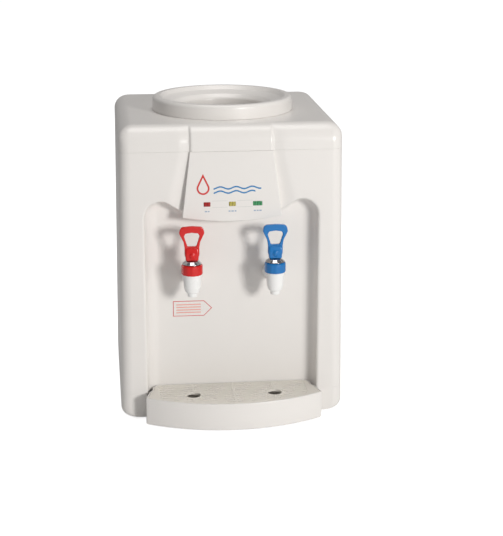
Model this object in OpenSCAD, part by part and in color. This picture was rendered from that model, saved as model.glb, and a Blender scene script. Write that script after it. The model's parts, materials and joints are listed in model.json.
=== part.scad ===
// Countertop water dispenser with a hot tap, a cold tap, a drip tray and a bottle collar.
// Millimetres. X runs to the right, Y from front to back and Z up.
// The origin is on the floor, under the middle of the whole outline.

/* [Casing] */
// Width of the casing at the floor
body_w = 310; // [308:1:316]
// Width of the casing at the top
body_top_w = 300; // [298:1:306]
// Depth of the casing, from its front face to its back edge
body_d = 300; // [299:1:304]
// Height of the casing without its feet
body_h = 407; // [406:1:412]
// Wall thickness of the casing panels
wall = 2.5; // [2:0.1:2.8]
// Height of the feet under the casing
foot_h = 3; // [2:0.5:4]
// Height of the base ring above the casing's bottom
base_h = 33.5; // [32:0.5:35]
// Height of the top cover's skirt
cover_h = 34; // [32:0.5:36]
// Radius of the front top edge
bullnose_r = 25; // [20:1:27]
// Radius of the top side edges
side_edge_r = 19; // [14:1:22]
// Radius of the front upright edges
front_corner_r = 15; // [10:1:18]
// Radius of the rear upright edges
rear_corner_r = 21; // [16:1:24]

/* [Recess and tray] */
// Half-width of the recess in the front panel
recess_hw = 117; // [116:0.5:118]
// Depth of the recess
recess_d = 25; // [24.5:0.5:26]
// Height of the recess's shoulders above the casing's bottom
recess_top = 305; // [303:1:306]
// How far the drip tray stands out in front of the casing
tray_out = 62; // [60:1:66]
// Height of the drip tray
tray_h = 38; // [37.5:0.5:39]
// Number of slot rows in the drip grille
slot_rows = 10; // [8:1:11]

/* [Taps] */
// Distance of each tap from the middle
tap_x = 56; // [54:1:58]
// Distance of the tap's upright axis from the recess wall
tap_reach = 47; // [45:1:49]
// Height of the spout's tip above the floor
spout_z = 183; // [180:1:184]
// Outer diameter of the tap's cap
tap_cap_d = 29; // [28:0.5:30]

/* [Bottle seat] */
// Outer diameter of the bottle collar
collar_d = 197; // [192:1:198]
// Height of the bottle collar above the casing
collar_h = 20; // [18:0.5:21]
// Distance of the collar's middle behind the front face
collar_y = 140; // [139:1:141]
// Diameter of the socket that takes the bottle's neck
neck_d = 59; // [58:0.5:60]

/* [Hidden] */
$fn = 64;
arc_steps = 8;
front_y = (tray_out - body_d) / 2;
back_y = front_y + body_d;
bottom_z = foot_h;
top_z = foot_h + body_h;
base_seam_z = bottom_z + base_h;
cover_seam_z = top_z - cover_h;
draft = atan((body_w - body_top_w) / 2 / body_h);
bottom_edge_r = 13;
seat_y = front_y + collar_y;
wall_y = front_y + recess_d;
tap_y = wall_y - tap_reach;
return_d = 30;
rear_return_x = 118;
plate_y = back_y - 8;
plate_t = 2.5;
tray_hw = 122;
tray_corner_y = 27;
tray_z = bottom_z + 3;
tray_top_z = bottom_z + tray_h;
grille_t = 3;
fascia_hw_top = 56;
fascia_hw_low = 67;
fascia_low_z = bottom_z + 285;
fascia_sag = 6;
fascia_front = 1.5;
fascia_low_front = 8;
lamp_z = bottom_z + 302.5;
lamp_pitch = 34;
pivot_z = spout_z + 54;
inlet_z = spout_z + 20;
tail_y = wall_y + 13;
hose_y = tail_y + 0.7;
tank_r = 68;
tank_z = 215;
tank_top_z = 314;
foam_r = 92;
foam_z = 199;
hot_r = 48;
hot_z = 70;
hot_top_z = 168;
cold_mid_z = 260;
block_y = front_y + 239;
fan_y = front_y + 276;
rocker_z = 150;
rocker_x = 70;
drain_z = 80;
white = [0.93, 0.92, 0.89];
ivory = [0.90, 0.88, 0.80];
hot_red = [0.80, 0.13, 0.11];
cold_blue = [0.10, 0.42, 0.72];
steel = [0.72, 0.73, 0.74];
rubber_black = [0.12, 0.12, 0.12];
clear_rubber = [0.85, 0.85, 0.80];

// Points of an arc about a centre, from one angle to another.
function arc(cx, cy, r, a0, a1, steps = arc_steps) = [
    for (i = [0:steps]) let (a = a0 + (a1 - a0) * i / steps) [cx + r * cos(a), cy + r * sin(a)]
];
// The same outline on both sides of the second axis.
function both_sides(half) = concat(half, [for (i = [len(half) - 1:-1:0]) [-half[i][0], half[i][1]]]);
// Half-width of the drafted casing at a height.
function casing_hw(z) = body_w / 2 - (body_w - body_top_w) / 2 * (z - bottom_z) / body_h;
function unit(v) = v / norm(v);
// A point on a smooth curve through a list of points, at a fraction of one span.
function spline_point(p, i, t) = let (
    a = p[max(i - 1, 0)], b = p[i], c = p[i + 1], d = p[min(i + 2, len(p) - 1)]
) 0.5 * ((2 * b) + (c - a) * t + (2 * a - 5 * b + 4 * c - d) * t * t
    + (3 * b - a - 3 * c + d) * t * t * t);
function smooth(p, steps) = concat(
    [for (i = [0:len(p) - 2]) for (k = [0:steps - 1]) spline_point(p, i, k / steps)],
    [p[len(p) - 1]]
);

// Extrudes an X-Z outline along Y between two planes.
module slab_y(y0, y1) {
    translate([0, y1, 0]) rotate([90, 0, 0]) linear_extrude(height = y1 - y0) children();
}

// Extrudes a Y-Z outline along X between two planes.
module slab_x(x0, x1) {
    translate([x0, 0, 0]) rotate([90, 0, 90]) linear_extrude(height = x1 - x0) children();
}

module box(x0, x1, y0, y1, z0, z1) {
    translate([x0, y0, z0]) cube([x1 - x0, y1 - y0, z1 - z0]);
}

module rod_y(x, z, r, y0, y1) {
    translate([x, y0, z]) rotate([-90, 0, 0]) cylinder(r = r, h = y1 - y0);
}

module rod_x(y, z, r, x0, x1) {
    translate([x0, y, z]) rotate([0, 90, 0]) cylinder(r = r, h = x1 - x0);
}

module rod_z(x, y, r, z0, z1) {
    translate([x, y, z0]) cylinder(r = r, h = z1 - z0);
}

// A round tube or wire swept along a path; side is a direction the path never takes.
module swept(path, r, sides, side) {
    last = len(path) - 1;
    rings = [for (i = [0:last]) let (
        t = unit(path[min(i + 1, last)] - path[max(i - 1, 0)]),
        u = unit(cross(t, side)),
        v = cross(t, u)
    ) for (k = [0:sides - 1]) path[i] + r * (cos(360 * k / sides) * u + sin(360 * k / sides) * v)];
    walls = [for (i = [0:last - 1]) for (k = [0:sides - 1]) let (
        a = i * sides + k,
        b = i * sides + (k + 1) % sides
    ) [a, a + sides, b + sides, b]];
    start = [for (k = [0:sides - 1]) k];
    end = [for (k = [sides - 1:-1:0]) last * sides + k];
    polyhedron(points = rings, faces = concat(walls, [start], [end]));
}

// Cuts a round upright edge on the drafted right side; dir is +1 at the front, -1 at the back.
module edge_cutter(inset, r, face_y, dir) {
    out = 8;
    outline = concat(
        arc(-r, face_y + dir * r, r, 0, -90 * dir),
        [[-r, face_y - dir * out], [out, face_y - dir * out], [out, face_y + dir * r]]
    );
    translate([body_w / 2 - inset, 0, bottom_z]) rotate([0, -draft, 0]) translate([0, 0, -out])
        linear_extrude(height = body_h + 3 * out) polygon(outline);
}

// The casing's outer form, or its inside when an inset is given.
module casing_form(inset = 0) {
    low = bottom_z + inset;
    high = top_z - inset;
    side_r = side_edge_r - inset;
    low_r = bottom_edge_r - inset;
    nose_r = bullnose_r - inset;
    y0 = front_y + inset;
    y1 = back_y - inset;
    difference() {
        intersection() {
            slab_y(y0 - 5, y1 + 5) polygon(both_sides(concat(
                arc(casing_hw(low + low_r) - inset - low_r, low + low_r, low_r, -90, 0),
                arc(casing_hw(high - side_r) - inset - side_r, high - side_r, side_r, 0, 90)
            )));
            slab_x(-body_w, body_w) polygon(concat(
                arc(y0 + nose_r, high - nose_r, nose_r, 180, 90),
                arc(y1 - side_r, high - side_r, side_r, 90, 0),
                [[y1, low], [y0, low]]
            ));
        }
        for (side = [0, 1]) mirror([side, 0, 0]) {
            edge_cutter(inset, front_corner_r - inset, y0, 1);
            edge_cutter(inset, rear_corner_r - inset, y1, -1);
        }
    }
}

module casing_shell() {
    difference() {
        casing_form();
        casing_form(wall);
    }
}

// Outline of the recess, in X-Z, with its two shoulders; grow widens it all round.
module recess_outline(grow) {
    r = 22;
    shoulder_z = bottom_z + recess_top;
    dip = 14;
    run = 31;
    steps = 8;
    peak_x = recess_hw - r;
    shoulder = arc(peak_x, shoulder_z - r, r + grow, 0, 90);
    dip_curve = [for (i = [1:steps])
        [peak_x - run * i / steps, shoulder_z + grow - dip * (1 - cos(180 * i / steps)) / 2]];
    polygon(both_sides(concat(
        [[0, base_seam_z - 0.01], [recess_hw + grow, base_seam_z - 0.01]], shoulder, dip_curve
    )));
}

// Outline of the indicator panel, in X-Z: it widens downwards to a bowed lower edge.
module fascia_outline(grow, top) {
    bow_r = (pow(fascia_hw_low, 2) + pow(fascia_sag, 2)) / 2 / fascia_sag;
    bow_a = asin(fascia_hw_low / bow_r);
    bow = arc(0, fascia_low_z - fascia_sag + bow_r, bow_r + grow, 270 - bow_a, 270 + bow_a, 16);
    polygon(concat(bow, [[fascia_hw_top + grow, top], [-fascia_hw_top - grow, top]]));
}

// Plan outline of the drip tray, drawn inwards by an inset.
module tray_outline(inset) {
    sag = tray_out - tray_corner_y;
    bow_r = (pow(tray_hw, 2) + pow(sag, 2)) / 2 / sag;
    bow_a = asin((tray_hw - inset) / (bow_r - inset));
    bow_y = front_y - tray_out + bow_r;
    rear_r = 14;
    rear_y = wall_y - 1 - inset;
    rear_x = recess_hw - 6;
    polygon(concat(
        arc(0, bow_y, bow_r - inset, 270 - bow_a, 270 + bow_a, 24),
        [[recess_hw - 1.5 - inset, front_y - 2]],
        arc(rear_x - rear_r, rear_y - rear_r + inset, rear_r - inset, 0, 90),
        arc(rear_r - rear_x, rear_y - rear_r + inset, rear_r - inset, 90, 180),
        [[1.5 + inset - recess_hw, front_y - 2]]
    ));
}

module base() {
    bay_hw = recess_hw + 2;
    shelf_hw = 95;
    color(white) union() {
        difference() {
            intersection() {
                casing_shell();
                box(-body_w, body_w, -body_d, body_d, 0, base_seam_z - 0.2);
            }
            box(-bay_hw, bay_hw, front_y - 5, front_y + 5, bottom_z + 3, base_seam_z + 1);
            for (x = [-110, 110], y = [front_y + 40, back_y - 40]) rod_z(x, y, 3.2, 0, 20);
        }
        difference() {
            box(-bay_hw - wall, bay_hw + wall, front_y + 1, wall_y + 3, bottom_z + 1, base_seam_z - 0.2);
            box(-bay_hw, bay_hw, front_y - 1, wall_y + 0.5, bottom_z + 3, base_seam_z + 1);
        }
        box(-shelf_hw, shelf_hw, front_y - 34, front_y + 6, bottom_z, bottom_z + 3);
    }
}

module front_panel() {
    color(white) difference() {
        union() {
            intersection() {
                casing_shell();
                box(-body_w, body_w, front_y - 1, front_y + return_d, base_seam_z, cover_seam_z - 0.2);
            }
            slab_y(front_y + 1, wall_y + wall) recess_outline(wall);
        }
        slab_y(front_y - 5, wall_y) recess_outline(0);
        slab_y(front_y - 5, front_y + 4.2) fascia_outline(0.2, cover_seam_z + 5);
        for (x = [-tap_x, tap_x]) rod_y(x, inlet_z, 6.7, wall_y - 1, wall_y + 6);
    }
}

module indicator_panel() {
    top = cover_seam_z - 0.2;
    low = fascia_low_z - fascia_sag - 1;
    side_view = [[front_y + 4, low], [front_y + 4, top + 1], [front_y - fascia_front, top + 1],
        [front_y - fascia_low_front, low]];
    color(white) difference() {
        intersection() {
            slab_y(front_y - 20, front_y + 10) fascia_outline(0, top);
            slab_x(-body_w, body_w) polygon(side_view);
        }
        for (i = [-1, 0, 1])
            box(i * lamp_pitch - 5.1, i * lamp_pitch + 5.1, front_y - 20, front_y + 5,
                lamp_z - 3.1, lamp_z + 3.1);
    }
}

module top_cover() {
    color(white) difference() {
        union() {
            intersection() {
                casing_shell();
                box(-body_w, body_w, -body_d, body_d, cover_seam_z, top_z + 1);
            }
            box(-fascia_hw_top, fascia_hw_top, front_y - fascia_front, front_y + 1,
                cover_seam_z, top_z - bullnose_r);
        }
        rod_z(0, seat_y, 84, top_z - 20, top_z + 5);
    }
}

// One side: its flat wall, the round rear edge, a narrow rear return and a screw post.
module side_panel(side) {
    post = [[104, plate_y - 12], [121, plate_y - 12], [121, back_y - 1], [rear_return_x, back_y - 1],
        [rear_return_x, plate_y], [104, plate_y]];
    mirror([side < 0 ? 1 : 0, 0, 0]) difference() {
        union() {
            intersection() {
                casing_shell();
                box(rear_return_x, body_w, front_y + return_d + 0.2, back_y + 1,
                    base_seam_z, cover_seam_z - 0.2);
            }
            translate([0, 0, base_seam_z]) linear_extrude(height = cover_seam_z - 0.2 - base_seam_z)
                polygon(post);
        }
        for (z = screw_heights()) rod_y(111, z, 1.75, plate_y - 10, plate_y + 1);
    }
}

module left_side_panel() {
    color(white) side_panel(-1);
}

module right_side_panel() {
    color(white) side_panel(1);
}

function screw_heights() = [base_seam_z + 20, (base_seam_z + cover_seam_z) / 2, cover_seam_z - 20];

module vent(x, z, half_w, h) {
    box(x - half_w, x + half_w, plate_y - 1, plate_y + 5, z - h / 2, z + h / 2);
}

module back_panel() {
    half = rear_return_x - 0.3;
    fan_vent_hw = 34;
    side_vent_hw = 22;
    side_vent_x = 75;
    side_vent_z = base_seam_z + 160;
    vent_pitch = 6.5;
    vent_h = 3.2;
    color([0.55, 0.56, 0.57]) difference() {
        box(-half, half, plate_y, plate_y + plate_t, base_seam_z, cover_seam_z - 0.2);
        for (x = [-111, 111], z = screw_heights()) rod_y(x, z, 1.75, plate_y - 1, plate_y + 5);
        for (i = [-5:5])
            vent(0, cold_mid_z + i * vent_pitch, fan_vent_hw, vent_h);
        for (side = [-1, 1], i = [0:5])
            vent(side * side_vent_x, side_vent_z + i * vent_pitch, side_vent_hw, vent_h);
        for (x = [-rocker_x, rocker_x])
            box(x - 7.5, x + 7.5, plate_y - 1, plate_y + 5, rocker_z - 10.5, rocker_z + 10.5);
        rod_y(0, drain_z, 5.3, plate_y - 1, plate_y + 5);
        rod_y(-rocker_x, drain_z, 6.2, plate_y - 1, plate_y + 5);
    }
}

module feet() {
    color(rubber_black) for (x = [-110, 110], y = [front_y + 40, back_y - 40]) {
        rod_z(x, y, 10, 0, foot_h);
        rod_z(x, y, 3, foot_h - 1, foot_h + 4);
    }
}

module back_screws() {
    head_y = plate_y + plate_t;
    color(steel) for (x = [-111, 111], z = screw_heights()) difference() {
        union() {
            rod_y(x, z, 3.6, head_y, head_y + 2);
            rod_y(x, z, 1.7, head_y - 11, head_y + 1);
        }
        box(x - 2.2, x + 2.2, head_y + 0.9, head_y + 3, z - 0.4, z + 0.4);
        box(x - 0.4, x + 0.4, head_y + 0.9, head_y + 3, z - 2.2, z + 2.2);
    }
}

module bottle_collar() {
    r = collar_d / 2;
    rim_z = top_z + collar_h;
    edge_r = 5;
    color(white) translate([0, seat_y, 0]) rotate_extrude($fn = 96) polygon(concat(
        [[r - 3, top_z], [r, top_z]],
        arc(r - edge_r, rim_z - edge_r, edge_r, 0, 90, 6),
        [[r - 11, rim_z], [r - 16, rim_z - 6], [68, rim_z - 12], [64, rim_z - 16], [63.5, top_z - 9],
            [66, top_z - 9], [66.5, rim_z - 17], [79, rim_z - 12], [79, top_z - 8], [81.5, top_z - 8],
            [81.5, rim_z - 10], [r - 3, rim_z - 6]]
    ));
}

module collar_seal() {
    color(clear_rubber) translate([0, seat_y, 0]) rotate_extrude($fn = 96)
        polygon([[81.8, top_z - 7], [83.7, top_z - 7], [83.7, top_z - 0.6], [81.8, top_z - 0.6]]);
}

module funnel() {
    neck_r = neck_d / 2;
    lip_z = top_z - 10;
    socket_z = top_z - 58;
    lid_z = tank_top_z;
    color(white) translate([0, seat_y, 0]) rotate_extrude($fn = 96) polygon([
        [10, lid_z], [tank_r + 8, lid_z], [tank_r + 8, lid_z + 3], [neck_r + wall, lid_z + 3],
        [neck_r + wall, socket_z - 1], [62.5, lip_z - 3], [76, lip_z - 3], [76, lip_z],
        [61, lip_z], [neck_r, socket_z], [neck_r, lid_z + 4], [10, lid_z + 4]
    ]);
}

module lamp(i) {
    box(i * lamp_pitch - 5, i * lamp_pitch + 5, front_y - 7.6, front_y + 7, lamp_z - 3, lamp_z + 3);
}

module hot_lamp() {
    color([0.75, 0.1, 0.1]) lamp(-1);
}

module power_lamp() {
    color([0.85, 0.75, 0.2]) lamp(0);
}

module cool_lamp() {
    color([0.1, 0.6, 0.25]) lamp(1);
}

module lamp_board() {
    color([0.1, 0.35, 0.2]) box(-44, 44, front_y + 7, front_y + 8.6, lamp_z - 5, lamp_z + 20);
}

module drip_tray() {
    skirt_t = 2.5;
    color(white) union() {
        difference() {
            translate([0, 0, tray_z]) linear_extrude(height = tray_top_z - tray_z) tray_outline(0);
            translate([0, 0, tray_z + 2.5]) linear_extrude(height = tray_h) tray_outline(5);
            translate([0, 0, tray_top_z - grille_t]) linear_extrude(height = tray_h) tray_outline(2.2);
        }
        difference() {
            translate([0, 0, bottom_z]) linear_extrude(height = tray_z - bottom_z + 0.5) tray_outline(0);
            translate([0, 0, bottom_z - 1]) linear_extrude(height = tray_h) tray_outline(skirt_t);
            box(-body_w, body_w, front_y - 3, back_y, 0, tray_h);
        }
    }
}

module drip_grille() {
    slot_w = 2.4;
    first_y = wall_y - 8;
    pitch = (first_y - (front_y - tray_out + 9)) / (slot_rows - 1);
    rib = 1.4;
    edge = 7;
    hole_r = 10;
    ring_r = 12.5;
    sag = tray_out - tray_corner_y;
    bow_r = (pow(tray_hw, 2) + pow(sag, 2)) / 2 / sag;
    color(ivory) difference() {
        translate([0, 0, tray_top_z - grille_t]) linear_extrude(height = grille_t) tray_outline(2.6);
        for (i = [0:slot_rows - 1]) {
            y = first_y - i * pitch;
            bow_half = sqrt(max(0, pow(bow_r - edge, 2) - pow(bow_r - tray_out + front_y - y, 2)));
            half = min(y > front_y - 6 ? 101 : 108, bow_half);
            for (side = [-1, 1], part = [0, 1]) {
                x0 = part == 0 ? rib : tap_x + rib;
                x1 = part == 0 ? tap_x - rib : half;
                if (x1 > x0 + 3) difference() {
                    box(side > 0 ? x0 : -x1, side > 0 ? x1 : -x0,
                        y - slot_w / 2, y + slot_w / 2, tray_top_z - 10, tray_top_z + 1);
                    rod_z(side * tap_x, tap_y, ring_r, tray_top_z - 11, tray_top_z + 2);
                }
            }
        }
        for (x = [-tap_x, tap_x]) rod_z(x, tap_y, hole_r, tray_top_z - 10, tray_top_z + 1);
    }
}

module tap_body(x) {
    z = spout_z;
    difference() {
        union() {
            translate([x, tap_y, 0]) rotate([0, 0, -90]) rotate_extrude() polygon([
                [4.5, z], [6.2, z], [6.6, z + 5.5], [8.8, z + 7], [10.6, z + 12], [11.6, z + 21],
                [12.4, z + 31], [10.5, z + 31], [10.5, z + 40], [7, z + 40], [7, z + 13], [4.5, z + 13]
            ]);
            rod_y(x, inlet_z, 6.5, tap_y + 8, tail_y);
            rod_y(x, inlet_z, 12, wall_y - 5, wall_y - 2);
        }
        rod_y(x, inlet_z, 4, tap_y + 5, tail_y + 1);
    }
}

module tap_cap(x) {
    r = tap_cap_d / 2;
    z = spout_z + 31;
    difference() {
        union() {
            translate([x, tap_y, 0]) rotate_extrude() polygon([
                [0, z + 0.3], [r, z + 0.3], [r, z + 12.5], [r - 1.5, z + 14], [r - 3, z + 15],
                [r - 5, z + 18.5], [r - 7, z + 19.4], [0, z + 19.4]
            ]);
            for (a = [0:15:345]) translate([x, tap_y, z + 1.5]) rotate([0, 0, a])
                translate([r - 0.3, 0, 0]) cylinder(r = 0.7, h = 10, $fn = 12);
        }
        rod_z(x, tap_y, 10.58, z - 1, z + 9.2);
        rod_z(x, tap_y, 2.6, z, z + 30);
    }
}

// The lever hangs on its pin by two cheeks; its loop stands above them.
module tap_lever(x) {
    z = pivot_z;
    t = 5.6;
    loop_hw = 16.5;
    top = z + 43;
    outer = both_sides(concat(
        [[0, z + 1], [9, z + 1], [10, z + 4], [9.8, z + 14], [11.5, z + 22]],
        arc(loop_hw - 6.5, top - 8, 7.2, -15, 90, 8)
    ));
    hole = both_sides(concat([[0, z + 15.5], [5.8, z + 15.5]], arc(7.8, z + 30, 2.6, -10, 90, 5)));
    difference() {
        union() {
            difference() {
                translate([x, 0, 0]) slab_y(tap_y - t / 2, tap_y + t / 2) polygon(outer);
                translate([x, 0, 0]) slab_y(tap_y - t, tap_y + t) polygon(hole);
            }
            box(x - 7, x + 7, tap_y - 4, tap_y + 4, z - 3, z + 5);
        }
        box(x - 2.4, x + 2.4, tap_y - 9, tap_y + 9, z - 5, z + 4.8);
        rod_x(tap_y, z, 1.2, x - 12, x + 12);
    }
}

module tap_pin(x) {
    rod_x(tap_y, pivot_z, 1.15, x - 6.8, x + 6.8);
}

module tap_stem(x) {
    z = spout_z;
    difference() {
        union() {
            rod_z(x, tap_y, 2.3, z + 18, pivot_z - 2);
            box(x - 2, x + 2, tap_y - 2.3, tap_y + 2.3, pivot_z - 2.5, pivot_z + 2.5);
            rod_z(x, tap_y, 3.6, z + 15, z + 18.5);
        }
        rod_x(tap_y, pivot_z, 1.2, x - 5, x + 5);
    }
}

// Soft plug that covers the stem's foot and shuts the outlet.
module tap_plug(x) {
    z = spout_z + 13;
    difference() {
        translate([x, tap_y, 0]) rotate_extrude() polygon([
            [0, z + 2.1], [4.2, z + 2.1], [5.6, z + 2.1], [6.3, z + 4], [6.3, z + 8], [0, z + 8]
        ]);
        rod_z(x, tap_y, 3.65, z + 2, z + 5.55);
        rod_z(x, tap_y, 2.4, z + 5, z + 9);
    }
}

module tap_spring(x) {
    z0 = spout_z + 21.7;
    z1 = spout_z + 39.4;
    turns = 6;
    steps = 14;
    coil = [for (i = [0:turns * steps])
        [x + 4.4 * cos(360 * i / steps), tap_y + 4.4 * sin(360 * i / steps),
            z0 + (z1 - z0) * i / (turns * steps)]];
    swept(coil, 0.45, 5, [0, 0, 1]);
}

module tap_gasket(x) {
    difference() {
        rod_y(x, inlet_z, 11, wall_y - 2, wall_y);
        rod_y(x, inlet_z, 6.55, wall_y - 3, wall_y + 1);
    }
}

module tap_nut(x) {
    difference() {
        translate([x, wall_y + wall, inlet_z]) rotate([-90, 0, 0]) cylinder(r = 12, h = 7, $fn = 6);
        rod_y(x, inlet_z, 6.55, wall_y, wall_y + 15);
    }
}

module hot_tap_body() {
    color("white") tap_body(-tap_x);
}

module hot_tap_cap() {
    color(hot_red) tap_cap(-tap_x);
}

module hot_lever() {
    color(hot_red) tap_lever(-tap_x);
}

module hot_lever_pin() {
    color(steel) tap_pin(-tap_x);
}

module hot_stem() {
    color(white) tap_stem(-tap_x);
}

module hot_plug() {
    color(clear_rubber) tap_plug(-tap_x);
}

module hot_spring() {
    color(steel) tap_spring(-tap_x);
}

module hot_gasket() {
    color(clear_rubber) tap_gasket(-tap_x);
}

module hot_nut() {
    color("white") tap_nut(-tap_x);
}

module cold_tap_body() {
    color("white") tap_body(tap_x);
}

module cold_tap_cap() {
    color(cold_blue) tap_cap(tap_x);
}

module cold_lever() {
    color(cold_blue) tap_lever(tap_x);
}

module cold_lever_pin() {
    color(steel) tap_pin(tap_x);
}

module cold_stem() {
    color(white) tap_stem(tap_x);
}

module cold_plug() {
    color(clear_rubber) tap_plug(tap_x);
}

module cold_spring() {
    color(steel) tap_spring(tap_x);
}

module cold_gasket() {
    color(clear_rubber) tap_gasket(tap_x);
}

module cold_nut() {
    color("white") tap_nut(tap_x);
}

module cold_tank() {
    skin = 1.5;
    port_x = 40;
    port_z = tank_z + 12;
    color(steel) difference() {
        union() {
            rod_z(0, seat_y, tank_r, tank_z, tank_top_z);
            rod_y(port_x, port_z, 6, front_y + 62, seat_y - 50);
        }
        rod_z(0, seat_y, tank_r - skin, tank_z + skin, tank_top_z + 1);
        rod_z(0, seat_y, 6.1, tank_z - 1, tank_z + 5);
        rod_y(port_x, port_z, 4, front_y + 60, seat_y - 45);
    }
}

module tank_foam() {
    color([0.95, 0.95, 0.95]) difference() {
        rod_z(0, seat_y, foam_r, foam_z, tank_top_z);
        rod_z(0, seat_y, tank_r + 0.1, tank_z, tank_top_z + 1);
        rod_z(0, seat_y, 8.3, foam_z - 1, tank_z + 1);
        box(-20.2, 20.2, seat_y + 50, seat_y + 100, cold_mid_z - 20.2, cold_mid_z + 20.2);
        rod_y(40, tank_z + 12, 6.2, front_y + 40, seat_y - 40);
    }
}

// A disc that keeps chilled water below it, on the tube that feeds the hot tank.
module baffle() {
    color(white) difference() {
        union() {
            rod_z(0, seat_y, 60, tank_z + 60, tank_z + 62);
            rod_z(0, seat_y, 6, tank_z - 10, tank_z + 61);
            for (a = [30:120:270]) translate([0, seat_y, 0]) rotate([0, 0, a])
                rod_z(50, 0, 2.5, tank_z + 1.5, tank_z + 61);
        }
        rod_z(0, seat_y, 4, tank_z - 11, tank_z + 63);
        for (a = [0:30:330]) translate([0, seat_y, 0]) rotate([0, 0, a])
            rod_z(36, 0, 4, tank_z + 55, tank_z + 70);
    }
}

module cold_block() {
    color([0.8, 0.8, 0.82]) difference() {
        box(-20, 20, seat_y + 60, block_y, cold_mid_z - 20, cold_mid_z + 20);
        rod_z(0, seat_y, tank_r + 0.1, tank_z, tank_top_z);
    }
}

module peltier_module() {
    color([0.9, 0.9, 0.9]) box(-20, 20, block_y, block_y + 4, cold_mid_z - 20, cold_mid_z + 20);
}

module heat_sink() {
    fins = 13;
    pitch = 7;
    color([0.75, 0.76, 0.78]) union() {
        box(-45, 45, block_y + 4, block_y + 9, cold_mid_z - 45, cold_mid_z + 45);
        for (i = [0:fins - 1]) {
            x = (i - (fins - 1) / 2) * pitch;
            box(x - 0.8, x + 0.8, block_y + 8, fan_y - 0.5, cold_mid_z - 45, cold_mid_z + 45);
        }
    }
}

module fan_frame() {
    color(rubber_black) difference() {
        union() {
            difference() {
                box(-40, 40, fan_y, fan_y + 15, cold_mid_z - 40, cold_mid_z + 40);
                rod_y(0, cold_mid_z, 37.5, fan_y - 1, fan_y + 16);
            }
            rod_y(0, cold_mid_z, 15, fan_y, fan_y + 2.4);
            for (a = [45:90:315]) translate([0, 0, cold_mid_z]) rotate([0, a, 0])
                box(12, 38.5, fan_y, fan_y + 2.4, -1.5, 1.5);
        }
        rod_y(0, cold_mid_z, 2.05, fan_y - 1, fan_y + 5);
        for (x = [-35.5, 35.5], z = [-35.5, 35.5]) rod_y(x, cold_mid_z + z, 2.2, fan_y - 1, fan_y + 16);
    }
}

module fan_rotor() {
    blades = 7;
    color(rubber_black) union() {
        rod_y(0, cold_mid_z, 16, fan_y + 3.4, fan_y + 13.5);
        rod_y(0, cold_mid_z, 2, fan_y + 0.4, fan_y + 5);
        for (i = [0:blades - 1]) translate([0, 0, cold_mid_z]) rotate([0, 360 * i / blades, 0])
            translate([25.2, fan_y + 8.4, 0]) rotate([35, 0, 0]) cube([21, 1.4, 12], center = true);
    }
}

// A sheet-metal bridge that carries the cold tank over the hot tank.
module chassis() {
    leg_x = 98;
    color(steel) difference() {
        union() {
            box(-leg_x, leg_x, seat_y - 62, seat_y + 80, foam_z - 2, foam_z);
            for (side = [-1, 1]) {
                box(side * leg_x - 1, side * leg_x + 1, seat_y - 62, seat_y + 80, bottom_z + wall, foam_z);
                box(side * (leg_x + 7) - 8, side * (leg_x + 7) + 8, seat_y - 62, seat_y + 80,
                    bottom_z + wall, bottom_z + wall + 2);
            }
        }
        rod_z(0, seat_y, 9, foam_z - 5, foam_z + 5);
    }
}

module hot_tank() {
    skin = 1.2;
    color(steel) difference() {
        union() {
            rod_z(0, seat_y, hot_r, hot_z, hot_top_z);
            rod_z(0, seat_y, 6, hot_top_z - 1, hot_top_z + 9);
            rod_z(-30, seat_y - 20, 5, hot_top_z - 1, hot_top_z + 4);
            for (a = [60:120:300]) translate([0, seat_y, 0]) rotate([0, 0, a])
                rod_z(38, 0, 3, bottom_z + wall, hot_z + 1);
        }
        rod_z(0, seat_y, hot_r - skin, hot_z + skin, hot_top_z - skin);
        rod_z(0, seat_y, 4, hot_top_z - 5, hot_top_z + 10);
        rod_z(-30, seat_y - 20, 3, hot_top_z - 5, hot_top_z + 10);
        rod_y(0, drain_z, 3, seat_y + 40, seat_y + 60);
    }
}

module heater_band() {
    color([0.45, 0.45, 0.47]) difference() {
        union() {
            rod_z(0, seat_y, hot_r + 3, 92, 132);
            box(hot_r, hot_r + 12, seat_y - 8, seat_y + 8, 104, 120);
        }
        rod_z(0, seat_y, hot_r + 0.1, 90, 134);
    }
}

module thermostats() {
    color([0.85, 0.83, 0.78]) difference() {
        for (side = [-1, 1])
            rod_x(seat_y, 148, 8, side > 0 ? hot_r - 2 : -hot_r - 9, side > 0 ? hot_r + 9 : 2 - hot_r);
        rod_z(0, seat_y, hot_r + 0.1, 130, 165);
    }
}

module feed_hose() {
    color(clear_rubber) difference() {
        rod_z(0, seat_y, 8, hot_top_z + 1, tank_z - 2);
        rod_z(0, seat_y, 6.05, hot_top_z, tank_z);
    }
}

module cold_hose() {
    path = [
        [tap_x, hose_y, inlet_z], [tap_x, hose_y + 3.5, inlet_z], [tap_x - 2, tail_y + 8, inlet_z + 4],
        [48, tail_y + 10, inlet_z + 13], [42, tail_y + 11, inlet_z + 21], [40, tail_y + 15, tank_z + 12],
        [40, tail_y + 20, tank_z + 12], [40, front_y + 62, tank_z + 12]
    ];
    color(clear_rubber) swept(smooth(path, 4), 5.5, 10, [1, 0, 0]);
}

module hot_hose() {
    path = [
        [-tap_x, hose_y, inlet_z], [-tap_x, hose_y + 3.5, inlet_z], [-55, tail_y + 11, inlet_z - 4],
        [-52, tail_y + 21, inlet_z - 13], [-46, tail_y + 41, inlet_z - 19],
        [-36, tail_y + 65, inlet_z - 19], [-30.5, seat_y - 21, inlet_z - 24],
        [-30, seat_y - 20, hot_top_z + 8], [-30, seat_y - 20, hot_top_z + 4.7]
    ];
    color(clear_rubber) swept(smooth(path, 4), 5, 10, [1, 0, 0]);
}

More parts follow.
